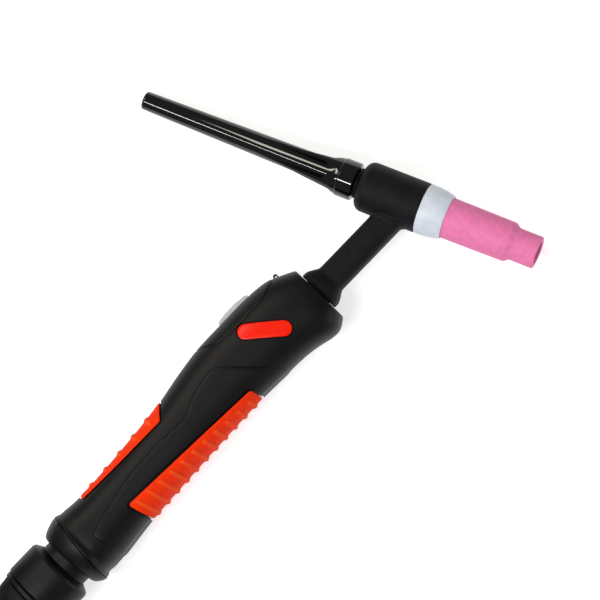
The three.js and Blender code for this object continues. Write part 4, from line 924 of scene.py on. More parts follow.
def worked_metal(name, colour, roughness=0.24):
    """Metal with tool marks, patches of tarnish and small scratches."""
    finish = Finish(name)
    marks = finish.noise(0.00035, detail=4, rough=0.65)
    tarnish = finish.noise(0.0045, detail=4, rough=0.6)
    base = finish.blend(tarnish.step(0.4, 0.75) * 0.6, colour, shade(colour, 0.62))
    finish.feed(Base_Color=base, Metallic=1.0, Roughness=roughness + marks * 0.14 + tarnish.step(0.45, 0.8) * 0.12,
                Normal=finish.bump(marks, 0.00003, 0.4))
    return finish.material


def woven_strap(name, colour):
    """Black woven webbing: a fine two-way weave with stray lint."""
    finish = Finish(name, Specular_IOR_Level=0.3)
    along, across = [finish.node("TexWave", {"wave_type": "BANDS", "bands_direction": axis},
                                 {"Vector": finish.place(), "Scale": 320, "Distortion": 0.4}) for axis in "XY"]
    weave = along * across
    lint = finish.noise(0.0009, detail=4)
    base = finish.blend(weave.step(0.1, 0.7), shade(colour, 0.6), shade(colour, 1.6))
    base = finish.blend(lint.step(0.66, 0.8) * 0.3, base, shade(colour, 4))
    finish.feed(Base_Color=base, Roughness=0.78 + lint * 0.12, Normal=finish.bump(weave, 0.0003, 0.6))
    return finish.material


MATERIALS = {}


def make_materials(colours):
    MATERIALS.update(
        nylon=moulded_nylon("moulded_nylon", colours.nylon),
        shell=moulded_nylon("moulded_nylon_panel", colours.nylon, lines=True),
        rubber=moulded_rubber("moulded_rubber", colours.rubber),
        jacket=moulded_rubber("cable_jacket", shade(colours.rubber, 1.1), 0.55),
        gloss=polished_black("polished_phenolic", colours.gloss),
        grip=grip_rubber("grip_rubber", colours.grip),
        badge=badge_lacquer("badge_lacquer", colours.badge),
        button=button_plastic("button_plastic", colours.button),
        gasket=waxy_white("gasket_white", colours.gasket),
        cup=pressed_alumina("pressed_alumina", colours.cup),
        brass=worked_metal("turned_brass", (0.62, 0.41, 0.13)),
        copper=worked_metal("drawn_copper", (0.72, 0.33, 0.19)),
        zinc=worked_metal("zinc_plated_steel", (0.52, 0.53, 0.55), 0.3),
        blued=worked_metal("blued_wire", (0.03, 0.03, 0.035), 0.22),
        grey=button_plastic("technical_plastic", (0.075, 0.08, 0.086)),
        strap=woven_strap("woven_strap", (0.02, 0.02, 0.022)),
    )


# ---- Lead and tails ---------------------------------------------------------------------------------------------


def coil_points(steps=48):
    """The coil's line: in on the top layer, down a layer, out on the bottom layer."""
    half = COIL_TURNS / 2
    count = round(COIL_TURNS * steps)
    points = []
    for i in range(count + 1):
        turns = COIL_TURNS * i / count
        angle = -math.pi / 2 - 2 * math.pi * turns
        radius = COIL_INNER_R + COIL_PITCH * abs(turns - half)
        drop = smooth_step(half - 0.25, half + 0.25, turns)
        points.append(Vector((COIL_X + radius * math.cos(angle), COIL_OUTER_R + radius * math.sin(angle),
                              COIL_TOP - COIL_PITCH * drop)))
    return points


def new_cord(name, nodes, points, diameter):
    """A cord that replaces nodes of the lead: a curve of one open spline, from points in the lead's frame."""
    curve = bpy.data.curves.new(name, "CURVE")
    curve.dimensions = "3D"
    curve.bevel_depth = diameter / 2 * 0.001
    curve.bevel_resolution = 7
    curve.use_fill_caps = True
    spline = curve.splines.new("POLY")
    spline.points.add(len(points) - 1)
    for place, point in zip(spline.points, points):
        place.co = (*(LEAD @ point), 1)
    spline.use_smooth = True
    curve.materials.append(MATERIALS["jacket"])
    piece = bpy.data.objects.new(name, curve)
    bpy.context.scene.collection.objects.link(piece)
    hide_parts(*nodes)
    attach(piece, "lead_body")
    length = sum((b - a).length for a, b in zip(points, points[1:])) * 0.001
    LEAD @ points[0]


class TORCH_OT_lead(bpy.types.Operator):
    """Makes the lead with its coil, the gas hose and the control cable"""

    bl_idname = "torch.lead"
    bl_label = "Lead and Tails"

    def execute(self, context):
        start, end = route(LEAD_POINTS, 2.5), route(LEAD_END_POINTS, 3)
        points = [start[0] + Vector((GAP, 0, 0)), *start[1:], *coil_points(), *end]
        new_cord("power_lead", ["lead", "lead_coil", "lead_end"], points, LEAD_D)
        new_cord("gas_hose", ["gas_tail"], route(GAS_POINTS, 1.5), GAS_D)
        new_cord("control_cable", ["control_tail"], route(CONTROL_POINTS, 1.5), CONTROL_D)
        return {"FINISHED"}


class TORCH_OT_coil_tie(bpy.types.Operator):
    """Makes the strap that holds the coil"""

    bl_idname = "torch.coil_tie"
    bl_label = "Coil Strap"

    def execute(self, context):
        slack = GAP + 0.2
        near, far = COIL_INNER_R - LEAD_R - slack, COIL_OUTER_R + LEAD_R + slack
        top = COIL_TOP + LEAD_R + slack
        outer = rounded(oblong(near - 1, far + 1, 0, top + 1), 6, 6)
        inner = rounded(oblong(near, far, 1, top), 5, 6)
        place = Matrix.Translation((COIL_X, COIL_OUTER_R, 0)) @ (about("Z", 180) @ about("X", 90))
        band = worked(prism(outer, -10, 10), [prism(inner, -11, 11)])
        new_piece("coil_tie", moved(band, place), LEAD, "lead_body", "strap", "coil_strap")
        return {"FINISHED"}


class TORCH_OT_plugs(bpy.types.Operator):
    """Makes the power plug, the gas union and the control connector"""

    bl_idname = "torch.plugs"
    bl_label = "Plugs and Fittings"

    def execute(self, context):
        at_plug = LEAD @ Matrix.Translation(PLUG)
        ribs = []
        for x in range(12, 40, 4):
            r = 9.2 + (x - 10) * (11.3 - 9.2) / 16 if x < 26 else 11.4 + (x - 26) * 0.036
            ribs += [(x, r), (x + 0.6, r + 0.5), (x + 2, r + 0.55), (x + 2.6, r)]
        grip = spun([(0, 0), (0, 8.6), (10, 9.2), *ribs, (42, 12), (PLUG_BOOT_LENGTH, 12.2), (PLUG_BOOT_LENGTH, 0)],
                    0.5, 3, 72)
        outlets = []
        for side, diameter in ((-1, GAS_D), (1, CONTROL_D)):
            r = diameter / 2
            outlet = spun([(0, 0), (0, r + 3), (22, r + 2.4), (23, r + 1.8), (24, r + 2.2), (30, r + 2), (30, 0)],
                          0.4, 3, 40)
            outlets.append(moved(outlet, Matrix.Translation((14, 0, 0)) @ about("Z", side * 32)))
        new_piece("plug_grip", worked(grip, outlets, "UNION"), at_plug, "lead_body", "rubber",
                  "plug_boot")
        rear = PLUG_BOOT_LENGTH + GAP
        front = rear + PLUG_SLEEVE_LENGTH
        seat = front - 12
        shroud = spun([(seat, 0), (rear, 0), (rear, 12.2), (rear + 1, 12.5), (rear + 8, 12.5), (rear + 8.6, 12.1),
                       (rear + 10, 12.1), (rear + 10.6, 12.5), (front - 1, 12.5), (front, 11.5),
                       (front, PIN_R + GAP), (seat, PIN_R + GAP), (seat, 0)], 0.4, 3, 72)
        new_piece("plug_shroud", shroud, at_plug, "lead_body", "nylon", "plug_sleeve")
        tip = front + PIN_LENGTH
        pin = spun([(seat + GAP, 0), (seat + GAP, PIN_R), (tip - 0.8, PIN_R), (tip, PIN_R - 0.8), (tip, 0)],
                   0.4, 3, 64)
        key = bevelled(block(front + 8, front + 12, 0, PIN_R + 1.6, -1.6, 1.6), 0.4)
        new_piece("plug_contact", worked(pin, [key], "UNION"), at_plug, "lead_body", "brass", "plug_pin")

        at_gas = LEAD @ Matrix.Translation(GAS_POINTS[-1])
        nipple = spun([(GAP, 1.6), (GAP, 3.1), (1.5, 3.4), (2.0, 3.1), (3.4, 3.4), (3.9, 3.1), (5.3, 3.4), (9, 3.4),
                       (9, 5.4), (12, 5.4), (14, 3.4), (14, 1.6)], 0.25, 2, 48, closed=True)
        new_piece("hose_nipple", nipple, at_gas, "lead_body", "brass", "gas_nipple")
        cone = spun([(5.8, 0), (5.8, 7.2), (6.8, 8.1), (16, 8.1), (19.2, 6.4), (19.2, 0)], 0.3, 3, 64)
        nut = worked(rod(6, 20, 8, 6), [cone], "INTERSECT")
        bore = turned([(5, 0), (5, 3.7), (8.7, 3.7), (8.7, 5.8), (21, 5.8), (21, 0)], 48)
        new_piece("union_nut", worked(nut, [bore]), at_gas, "gas_nut", "brass", "gas_nut")

        at_control = LEAD @ Matrix.Translation(CONTROL_POINTS[-1])
        shell = spun([(19.7, 0), (GAP, 0), (GAP, 4.3), (8, 4.7), (9, 6.9), (30, 6.9), (30, 5.7), (19.7, 5.7),
                      (19.7, 0)], 0.3, 3, 56)
        new_piece("connector_shell", shell, at_control, "lead_body", "zinc", "control_plug_body")
        insert = spun([(20, 0), (20, 5.4), (29, 5.4), (29, 0)], 0.3, 3, 56)
        holes = []
        for k in range(5):
            turn = math.radians(45 + 67.5 * k)
            place = Matrix.Translation((29.5, 3.2 * math.cos(turn), 3.2 * math.sin(turn))) @ about("Y", 90)
            holes.append(moved(post(0, 0, 0.75, -3, 3, 16), place))
        new_piece("connector_insert", worked(insert, holes), at_control, "lead_body", "grey",
                  "control_plug_insert")
        ring = spun([(17, 7.2), (17, 8), (17.5, 8.5), (31.5, 8.5), (32, 8), (32, 7.2)], 0.3, 2, 56, closed=True)
        grooves = [moved(block(19, 29.5, 8.2, 9.5, -0.35, 0.35), about("X", 15 * k)) for k in range(24)]
        new_piece("connector_ring", worked(ring, grooves), at_control, "control_ring", "zinc",
                  "control_plug_ring")
        return {"FINISHED"}


# ---- Ball joint and boot ----------------------------------------------------------------------------------------


class TORCH_OT_ball_joint(bpy.types.Operator):
    """Makes the ball with its cuff and the bush behind it"""

    bl_idname = "torch.ball_joint"
    bl_label = "Ball Joint"

    def execute(self, context):
        inner = SLEEVE_R - 1.3
        first, last = (math.acos((x - BALL_X) / BALL_R) for x in (RING_MOUTH_X, BALL_FRONT_X))
        profile = [(CUFF_REAR_X + 0.5, BALL_BORE_R), (CUFF_REAR_X + 0.5, inner), (CUFF_FRONT_X + 0.2, inner),
                   (CUFF_FRONT_X + 0.2, SLEEVE_R), (RING_MOUTH_X, SLEEVE_R),
                   *arc(BALL_X, 0, BALL_R, first, last, 28), (BALL_FRONT_X, BALL_BORE_R)]
        new_piece("joint_ball", turned(profile, 96, closed=True), KNUCKLE, "knuckle", "nylon",
                  "knuckle_ball")
        bore = inner + GAP
        cuff = spun([(CUFF_REAR_X, bore), (CUFF_REAR_X, CUFF_R - 0.4), (CUFF_REAR_X + 0.5, CUFF_R), (-4.3, CUFF_R),
                     (-3.1, CUFF_R - 0.6), (CUFF_FRONT_X - 1, CUFF_R - 2.2), (CUFF_FRONT_X, CUFF_R - 3.9),
                     (CUFF_FRONT_X, bore)], 0.5, 4, 112, closed=True)
        marks = [moved(block(*span, 16.6, 18, *width), about("X", 129.4))
                 for span, width in (((-7.6, -4.3), (-0.2, 0.2)), ((-7.6, -7.2), (-0.2, 1.3)))]
        new_piece("joint_cuff", worked(cuff, marks), KNUCKLE, "knuckle", "nylon", "knuckle_cuff")
        outside = BALL_BORE_R - GAP
        front = CUFF_REAR_X - GAP
        rear = front - FLANGE_LENGTH
        bush = spun([(rear, outside - BUSH_WALL), (rear, FLANGE_R - 0.4), (rear + 0.4, FLANGE_R),
                     (front - 0.4, FLANGE_R), (front, FLANGE_R - 0.4), (front, outside), (BALL_X - 4, outside),
                     (BALL_X - 4, outside - BUSH_WALL)], 0.35, 3, 96, closed=True)
        new_piece("joint_bush", bush, KNUCKLE, "lead_body", "nylon", "swivel_bush")
        return {"FINISHED"}


class TORCH_OT_boot(bpy.types.Operator):
    """Makes the ringed boot that guards the lead's bend"""

    bl_idname = "torch.boot"
    bl_label = "Bend Boot"

    def execute(self, context):
        front = CUFF_REAR_X - 2 * GAP - FLANGE_LENGTH
        radius = curve_through([(BOOT_REAR_X, BOOT_REAR_R), (-52, 11.4), (-36, 14.2), (front, BOOT_FRONT_R)])
        rings = []
        x = front - 5.6
        while x > BOOT_REAR_X + BOOT_RING_PITCH:
            rings += [(x + 0.5, radius(x + 0.5)), (x, radius(x)), (x - 0.45, radius(x) - 0.7),
                      (x - 1.35, radius(x) - 0.75), (x - 1.8, radius(x - 1.8)), (x - 2.3, radius(x - 2.3))]
            x -= BOOT_RING_PITCH
        bore = BALL_BORE_R - GAP - BUSH_WALL
        deep = BOOT_REAR_X + 16
        boot = spun([(deep, 0), (deep, bore), (front, bore), (front, BOOT_FRONT_R - 0.4),
                     (front - 0.4, BOOT_FRONT_R), *rings, (BOOT_REAR_X + 0.8, BOOT_REAR_R),
                     (BOOT_REAR_X, BOOT_REAR_R - 0.8), (BOOT_REAR_X, 0)], 0.3, 3, 96)
        new_piece("lead_boot", boot, KNUCKLE, "lead_body", "rubber", "bend_boot")
        return {"FINISHED"}


# ---- Handle -----------------------------------------------------------------------------------------------------


def panel_depth(point):
    """How far a point of the handle's side lies inside the raised panel."""
    return depth_inside(PANEL_OUTLINE, point[0], point[1])


def sunk_shade(point):
    """How much a point lies below the handle's surface: 1 from half a millimetre down. It masks the painted shade in
    pockets and gaps.
    """
    x, y, z = point
    middle, half = (top_at(x) + bottom_at(x)) / 2, (top_at(x) - bottom_at(x)) / 2
    up, side = abs(y - middle) / half, abs(z) / half_width_at(x)
    level = (up ** SECTION_POWER + side ** SECTION_POWER) ** (1 / SECTION_POWER)
    return smooth_step(0.2, 0.55, (1 - level) * half)


def beside_parting(z):
    """0 on the parting line between the shells, and 1 from 5 mm off it."""
    return smooth_step(1.5, 5, abs(z))


def panel_shown(point):
    """The panel's groove and the painted shade in it fade out towards the belly and on the parting line."""
    return smooth_step(-13.5, -8, point[1]) * beside_parting(point[2])


def panel_relief(height):
    """The raised panel and the rounded edge at the ring's seam."""

    def relief(x, y, z):
        ahead = x - RING_SEAM_X - y * math.tan(RING_SEAM_TILT) - GAP
        if ahead < SEAM_ROUND:
            return -SEAM_DROP * (1 - max(0, ahead) / SEAM_ROUND) ** 2
        if x < PANEL_REAR_X or x > PANEL_FRONT_X or y > PANEL_TOP_Y:
            return 0
        return height * smooth_step(-0.2, 1.0, panel_depth((x, y))) * beside_parting(z)

    return relief


class TORCH_OT_shells(bpy.types.Operator):
    """Makes the two half shells of the handle"""

    bl_idname = "torch.shells"
    bl_label = "Handle Shells"

    def execute(self, context):
        grip = context.scene.torch_grip
        outside = handle_form(0, HANDLE_TOP[0][0], HANDLE_FRONT_X, 0.9, 144, panel_relief(mm(grip.panel)))
        bosses = [post(x, y, 4.2, -30, 30, 28) for x, y in SCREW_PLACES]
        cavity = worked(handle_form(-WALL, *CAVITY, 6, 56), bosses)
        bmesh.ops.reverse_faces(cavity, faces=cavity.faces)
        neck_hole = loft([neck_ring(x, NECK_HEIGHT, NECK_WIDTH, GAP, count=48)
                          for x in (CAVITY[1] - 1, HANDLE_FRONT_X + 1)])
        holes = [post(x, y, *hole) for hole in ((1.6, -29, 9, 24), (3.1, -28, -8, 32)) for x, y in SCREW_PLACES]
        whole = worked(joined([outside, cavity]), [
            prism(grown(MODULE_OUTLINE, GAP), -30, 30),
            pocket(rounded(PALM_OUTLINE, 2.4), BORDER_DEPTH),
            pocket(rounded(FINGER_OUTLINE, 1.2), BORDER_DEPTH),
            pocket(PALM_INSERT, INSERT_DEPTH),
            pocket(FINGER_INSERT, INSERT_DEPTH),
            pocket(pill(*BADGE_PILL), BADGE_DEPTH, 0, 30),
            sphere(BALL_R + BALL_PLAY),
            rod(BALL_X, CAVITY[0] + 1, BALL_BORE_R + 1.5, 48),
            neck_hole, behind_seam(GAP), block(-5, 180, -40, 40, -0.15, 0.15), *holes,
        ])
        for name, node, side in (("shell_upper", "handle_shell_upper", 1), ("shell_lower", "handle_shell_lower", -1)):
            half = whole.copy()
            bmesh.ops.delete(half, geom=[v for v in half.verts if v.co.z * side < 0], context="VERTS")
            # The last two fields mask the painted shade in the panel's groove and in the pockets and gaps.
            new_piece(name, half, HANDLE, "handle", "shell", node, 28,
                      {"panel": panel_depth, "shown": panel_shown, "sunk_shade": sunk_shade})
        whole.free()
        return {"FINISHED"}


class TORCH_OT_lock_ring(bpy.types.Operator):
    """Makes the ring that locks the ball joint"""

    bl_idname = "torch.lock_ring"
    bl_label = "Lock Ring"

    def execute(self, context):
        crown = curve_through(RING_CROWN)

        def ring_at(share, radius):
            ring = []
            for k in range(128):
                turn = 2 * math.pi * (k + 0.5) / 128
                y, z = radius * math.cos(turn), radius * math.sin(turn)
                rear = RING_REAR_X + y * math.tan(RING_REAR_TILT)
                seam = RING_SEAM_X + y * math.tan(RING_SEAM_TILT)
                ring.append((rear + (seam - rear) * share, y, z))
            return ring

        shares = [0.02 + 0.95 * (k / 22) ** 1.3 for k in range(23)]
        body = loft([ring_at(0, 12), ring_at(0, crown(0) - 0.2), *[ring_at(k, crown(k)) for k in shares],
                     ring_at(1, crown(1) - 0.3), ring_at(1, 12)])
        notch = moved(block(RING_SEAM_X - 0.1, RING_SEAM_X + 4, 17.6, 20, -0.45, 0.45), about("X", 48))
        ring = worked(body, [sphere(BALL_R + BALL_PLAY), rod(0, RING_MOUTH_X, RING_MOUTH_R, 96), notch])
        new_piece("lock_ring", ring, HANDLE, "handle", "nylon", "rear_lock_ring")
        return {"FINISHED"}


def rib_field(outline, first, pitch, count, slant, reach):
    """How much a rib stands up at a point, from 0 to 1. The ribs lean and end at a reach from the insert's edge."""

    def value(x, y):
        edge = depth_inside(outline, x, y)
        along = x - math.tan(slant) * (bottom_at(x) - y) - first
        index = min(count - 1, max(0, round(along / pitch)))
        near = abs(along - index * pitch)
        hump = math.cos(math.pi / 2 * min(1, near / 1.75)) ** 1.3
        share = (x - first) / (pitch * count)
        return hump * smooth_step(reach[0], reach[0] + 1.2, edge - (reach[1] - reach[0]) * share)

    return value


def insert_relief(outline, proud, height, ribs):
    """An insert's height over the shell: its rounded edge and its ribs."""

    def relief(x, y, z):
        if abs(y) < 1:
            return -1
        edge = depth_inside(outline, x, y)
        if edge < -1:
            return 0
        low = proud * smooth_step(-0.1, 0.7, edge) - 0.25 * (1 - smooth_step(0, 0.5, edge))
        return low + height * ribs(x, y)

    return relief


class TORCH_OT_grips(bpy.types.Operator):
    """Makes the ribbed orange inserts"""

    bl_idname = "torch.grips"
    bl_label = "Grip Inserts"

    def execute(self, context):
        grip = context.scene.torch_grip
        for kind, outline, slant, reach, span in (("palm", PALM_INSERT, 16, (0.6, 2.2), (36, 122)),
                                                  ("finger", FINGER_INSERT, 0, (1.2, 1.2), (24, 87))):
            first, pitch, height = (mm(getattr(grip, f"{kind}_{key}")) for key in ("first", "pitch", "height"))
            ribs = rib_field(outline, first, pitch, getattr(grip, f"{kind}_ribs"), math.radians(slant), reach)
            bm = skin(outline, INSERT_DEPTH, *span, 0.55, 200, insert_relief(outline, mm(grip.proud), height, ribs))
            # The valley field is the mask of the painted highlight on the rib crests.
            new_piece(f"{kind}_grip", bm, HANDLE, "handle", "grip", f"{kind}_grip_insert", 50,
                      {"valley": lambda point: 1 - ribs(point[0], point[1])})
        return {"FINISHED"}


class TORCH_OT_module(bpy.types.Operator):
    """Makes the clip-on switch module and its wire clip"""

    bl_idname = "torch.module"
    bl_label = "Switch Module"

    def execute(self, context):
        outline = rounded(MODULE_OUTLINE, 0.8, 3)

        def edge_round(x, y, z):
            return -0.35 * (1 - smooth_step(0, 0.8, depth_inside(outline, x, y)))

        outside = handle_form(0, 110, 165, 0.6, 176, edge_round)
        cover = worked(worked(outside, [prism(outline, -30, 30)], "INTERSECT"), [handle_form(-WALL, 107, 168, 4, 56)])
        legs = []
        for end in (-1, 1):
            near = TRIGGER_X + end * (SWITCH_LENGTH / 2 + GAP)
            far = near + end * LEG_THICKNESS
            legs.append(block(min(near, far), max(near, far), SWITCH_TOP_Y - SWITCH_HEIGHT + 1, 22.6,
                              -LEG_WIDTH / 2, LEG_WIDTH / 2))
        half = TRIGGER_LENGTH / 2 + 0.4
        wide = TRIGGER_HALF_WIDTH + 0.4
        slot = block(TRIGGER_X - half - 1, TRIGGER_X + half, 7.6, 40, -wide, wide)
        new_piece("module_cover", worked(worked(cover, legs, "UNION"), [slot]), HANDLE, "handle", "nylon",
                  "switch_module", 28)

        low, high = top_at(CLIP_X) - CLIP_DEPTH, top_at(CLIP_X) + CLIP_RISE
        outer = oblong(*(CLIP_X + x for x in CLIP_OUTSIDE), low, high)
        inner = oblong(*(CLIP_X + x for x in CLIP_INSIDE), low - 1, high - CLIP_WIRE)
        strip = worked(prism(rounded(outer, 1.0, 6), -1.6, 1.6), [prism(rounded(inner, 0.4, 5), -3, 3)])
        new_piece("wire_clip", strip, HANDLE, "handle", "blued", "module_clip")
        return {"FINISHED"}


class TORCH_OT_trigger(bpy.types.Operator):
    """Makes the trigger button"""

    bl_idname = "torch.trigger"
    bl_label = "Trigger"

    def execute(self, context):
        half = TRIGGER_LENGTH / 2
        outline = [(TRIGGER_X + x, TRIGGER_TOP_Y + y) for x, y in TRIGGER_STEPS]
        stem = prism(rounded(outline, 0.22, 3), -TRIGGER_HALF_WIDTH, TRIGGER_HALF_WIDTH)
        zs = [TRIGGER_HALF_WIDTH * (k / 8 - 1) for k in range(17)]
        across = [(zs[0], 0), *((z, TRIGGER_TOP_Y - TRIGGER_CROWN_R + math.sqrt(TRIGGER_CROWN_R ** 2 - z * z))
                                for z in zs), (zs[-1], 0)]
        lengthways = Matrix(((0, 0, 1, TRIGGER_X), (0, 1, 0, 0), (1, 0, 0, 0), (0, 0, 0, 1)))
        crown = moved(prism(rounded(across, 1.3, 5), -20, 20), lengthways)
        button = worked(stem, [outward(crown)], "INTERSECT")
        wide = TRIGGER_HALF_WIDTH + SKIRT_OVERHANG
        skirt = block(TRIGGER_X - half, TRIGGER_X + half, SKIRT_TOP_Y - SKIRT_THICKNESS, SKIRT_TOP_Y, -wide, wide)
        new_piece("trigger_cap", worked(button, [skirt], "UNION"), HANDLE, "trigger", "button",
                  "trigger_button", 30)
        return {"FINISHED"}


class TORCH_OT_badge(bpy.types.Operator):
    """Makes the bare badge plate"""

    bl_idname = "torch.badge"
    bl_label = "Badge"

    def execute(self, context):
        centre, length, width, angle = BADGE_PILL
        outline = pill(centre, length - 0.6, width - 0.6, angle)

        def relief(x, y, z):
            return 0.25 * smooth_step(0, 0.7, depth_inside(outline, x, y)) - 0.1

        bm = skin(outline, BADGE_DEPTH, 128, 158, 0.5, 200, relief, 0, 30)
        new_piece("badge", bm, HANDLE, "handle", "badge", "badge_plate", 50)
        return {"FINISHED"}


# ---- Head -------------------------------------------------------------------------------------------------------


class TORCH_OT_body(bpy.types.Operator):
    """Makes the moulded rubber of neck and head"""

    bl_idname = "torch.body"
    bl_label = "Neck and Head"

    def execute(self, context):
        along = Vector((math.cos(HEAD_ANGLE), -math.sin(HEAD_ANGLE)))
        frame_line = pill(*NECK_FRAME)

        def relief(x, y, z):
            offset = Vector((x - HEAD_PLACE[0], y - HEAD_PLACE[1]))
            beside = offset.x * along.y - offset.y * along.x
            off = math.hypot(beside, z) - HEAD_R
            short = HEAD_FILLET - min(max(off, 0), HEAD_FILLET)
            rise = HEAD_FILLET - math.sqrt(max(0.0, HEAD_FILLET ** 2 - short ** 2))
            edge = depth_inside(frame_line, x, y)
            line = math.exp(-((edge - 0.45) / 0.32) ** 2) if z > 0 and abs(x - NECK_FRAME[0][0]) < 14 else 0
            return min(rise, HEAD_FILLET_RISE) + 0.28 * line

        *flange, thick = NECK_FLANGE
        slim = NECK_HEIGHT, NECK_WIDTH
        front = CAVITY[1] - GAP
        rings = [neck_ring(x, *size) for x, size in (
            (NECK_TAIL_X, slim), (front - thick, slim), (front - thick, flange), (front, flange), (front, slim),
            (COLLAR_REAR_X, slim))]
        rings += [neck_ring(COLLAR_REAR_X + x, COLLAR_HEIGHT, COLLAR_WIDTH, -inset)
                  for inset, x in ((0.7, 0), (0.2, 0.2), (0, 0.7))]
        flare = curve_through(COLLAR_FLARE)
        for k in range(1, 17):
            share = COLLAR_FLARE[0][0] + (1 - COLLAR_FLARE[0][0]) * k / 16
            grow = flare(share)
            rings.append(neck_ring(COLLAR_REAR_X + COLLAR_LENGTH * share,
                                   NECK_HEIGHT + (COLLAR_HEIGHT - NECK_HEIGHT) * grow,
                                   NECK_WIDTH + (COLLAR_WIDTH - NECK_WIDTH) * grow))
        x = COLLAR_REAR_X + COLLAR_LENGTH
        while x < HEAD_PLACE[0] - 2.5:
            x += 0.45
            rings.append(neck_ring(x, *slim, relief=relief))
        neck = loft(rings)
        profile = [(HEAD_REAR, 0), (HEAD_REAR, HEAD_R - 4.6)]
        for k in range(1, 13):
            turn = math.pi / 2 * k / 12
            profile.append((HEAD_REAR + 4.4 * (1 - math.cos(turn)), HEAD_R - 4.2 + 4.2 * math.sin(turn)))
        profile += [(HEAD_FRONT - 0.3, HEAD_R), (HEAD_FRONT, HEAD_R - 0.3), (HEAD_FRONT, 0)]
        barrel = moved(turned(profile, 128), HANDLE_TO_HEAD)
        core = moved(rod(HEAD_REAR - 1, HEAD_FRONT + 1, CORE_R + GAP, 64), HANDLE_TO_HEAD)
        pipe = moved(rod(NECK_TAIL_X - 1, HEAD_PLACE[0], TUBE_R + GAP, 40), Matrix.Translation((0, NECK_Y, 0)))
        body = worked(worked(neck, [barrel], "UNION"), [core, pipe])
        new_piece("neck_and_head", body, HANDLE, "handle", "rubber", "torch_body_cover", 34)
        return {"FINISHED"}


class TORCH_OT_consumables(bpy.types.Operator):
    """Makes the gasket, the cup, the collet body and the collet"""

    bl_idname = "torch.consumables"
    bl_label = "Gasket, Cup and Collet"

    def execute(self, context):
        flange_r = CUP_THREAD_R + 0.6
        recess = COLLET_FLANGE + 2 * GAP
        rear_r = HEAD_R - 0.05
        convex = [(GASKET_REAR + 0.35, rear_r), (GASKET_REAR + 3, rear_r)]
        convex += [(GASKET_REAR + 3 + (GASKET_FRONT - GASKET_REAR - 3.5) * k / 10,
                    rear_r - (rear_r - GASKET_FRONT_R) * (k / 10) ** 2.1) for k in range(1, 11)]
        gasket = turned([
            (GASKET_REAR, flange_r + GAP), (GASKET_REAR, HEAD_R - 0.4), *convex, (GASKET_FRONT, GASKET_FRONT_R - 0.5),
            (GASKET_FRONT, CUP_REAR_R + GAP), (CUP_REAR - GAP, CUP_REAR_R + GAP),
            (CUP_REAR - GAP, COLLET_BODY_R + 0.5), (GASKET_REAR + recess, COLLET_BODY_R + 0.5),
            (GASKET_REAR + recess, flange_r + GAP),
        ], 128, closed=True)
        new_piece("gasket", gasket, HEAD, "cup_travel", "gasket", "cup_gasket")

        front = CUP_REAR + CUP_LENGTH
        step_end = front - CUP_TIP_LENGTH
        step = step_end - CUP_STEP_LENGTH
        shoulder = [(step + CUP_STEP_LENGTH * k / 10,
                     CUP_TIP_R + (CUP_STEP_R - CUP_TIP_R) * (0.5 + 0.5 * math.cos(math.pi * k / 10)))
                    for k in range(1, 11)]
        outer, inner = CUP_RIM
        rim = arc(front - outer, CUP_TIP_R - outer, outer, math.pi / 2, 0, 8)
        rim += arc(front - inner, CUP_BORE_R + inner, inner, 0, -math.pi / 2, 8)[1:]
        throat = step - 9
        cup = turned([
            (CUP_REAR, CUP_THREAD_R), (CUP_REAR, CUP_REAR_R - 0.4), (CUP_REAR + 0.4, CUP_REAR_R),
            (CUP_REAR + 12, CUP_REAR_R - 0.08), (step, CUP_STEP_R), *shoulder, *rim, (throat, CUP_BORE_R),
            (throat - 2, CUP_THREAD_R),
        ], 128, closed=True)
        new_piece("cup", cup, HEAD, "gas_cup", "cup", "gas_cup")

        stem = HEAD_FRONT - 14
        nose = HEAD_FRONT + COLLET_BODY_LENGTH
        body = spun([
            (stem, 3), (stem, CORE_BORE_R - GAP), (HEAD_FRONT, CORE_BORE_R - GAP), (HEAD_FRONT, flange_r),
            (HEAD_FRONT + COLLET_FLANGE, flange_r), (HEAD_FRONT + COLLET_FLANGE, COLLET_BODY_R),
            (nose - 16, COLLET_BODY_R), (nose - 8, CUP_BORE_R - 1.3), (nose, CUP_BORE_R - 1.5), (nose, 3)],
            0.3, 3, 64, closed=True)
        ports = [moved(post(0, 0, 0.8, -12, 12, 20), Matrix.Translation((nose - 12, 0, 0)) @ about("X", 60 * k))
                 for k in range(3)]
        new_piece("collet_holder", worked(body, ports), HEAD, "handle", "brass", "collet_body")
        rear = CAP_SEAT + CAP_STUB_LENGTH + GAP
        collet = spun([(rear, 1.3), (rear, 2.6), (nose - 1, 2.6), (nose - 1, 1.3)], 0.2, 2, 40, closed=True)
        slits = [moved(block(nose - 12, nose, -0.2, 0.2, 0, 4), about("X", 90 * k)) for k in range(4)]
        new_piece("collet_sleeve", worked(collet, slits), HEAD, "handle", "copper", "collet")
        return {"FINISHED"}


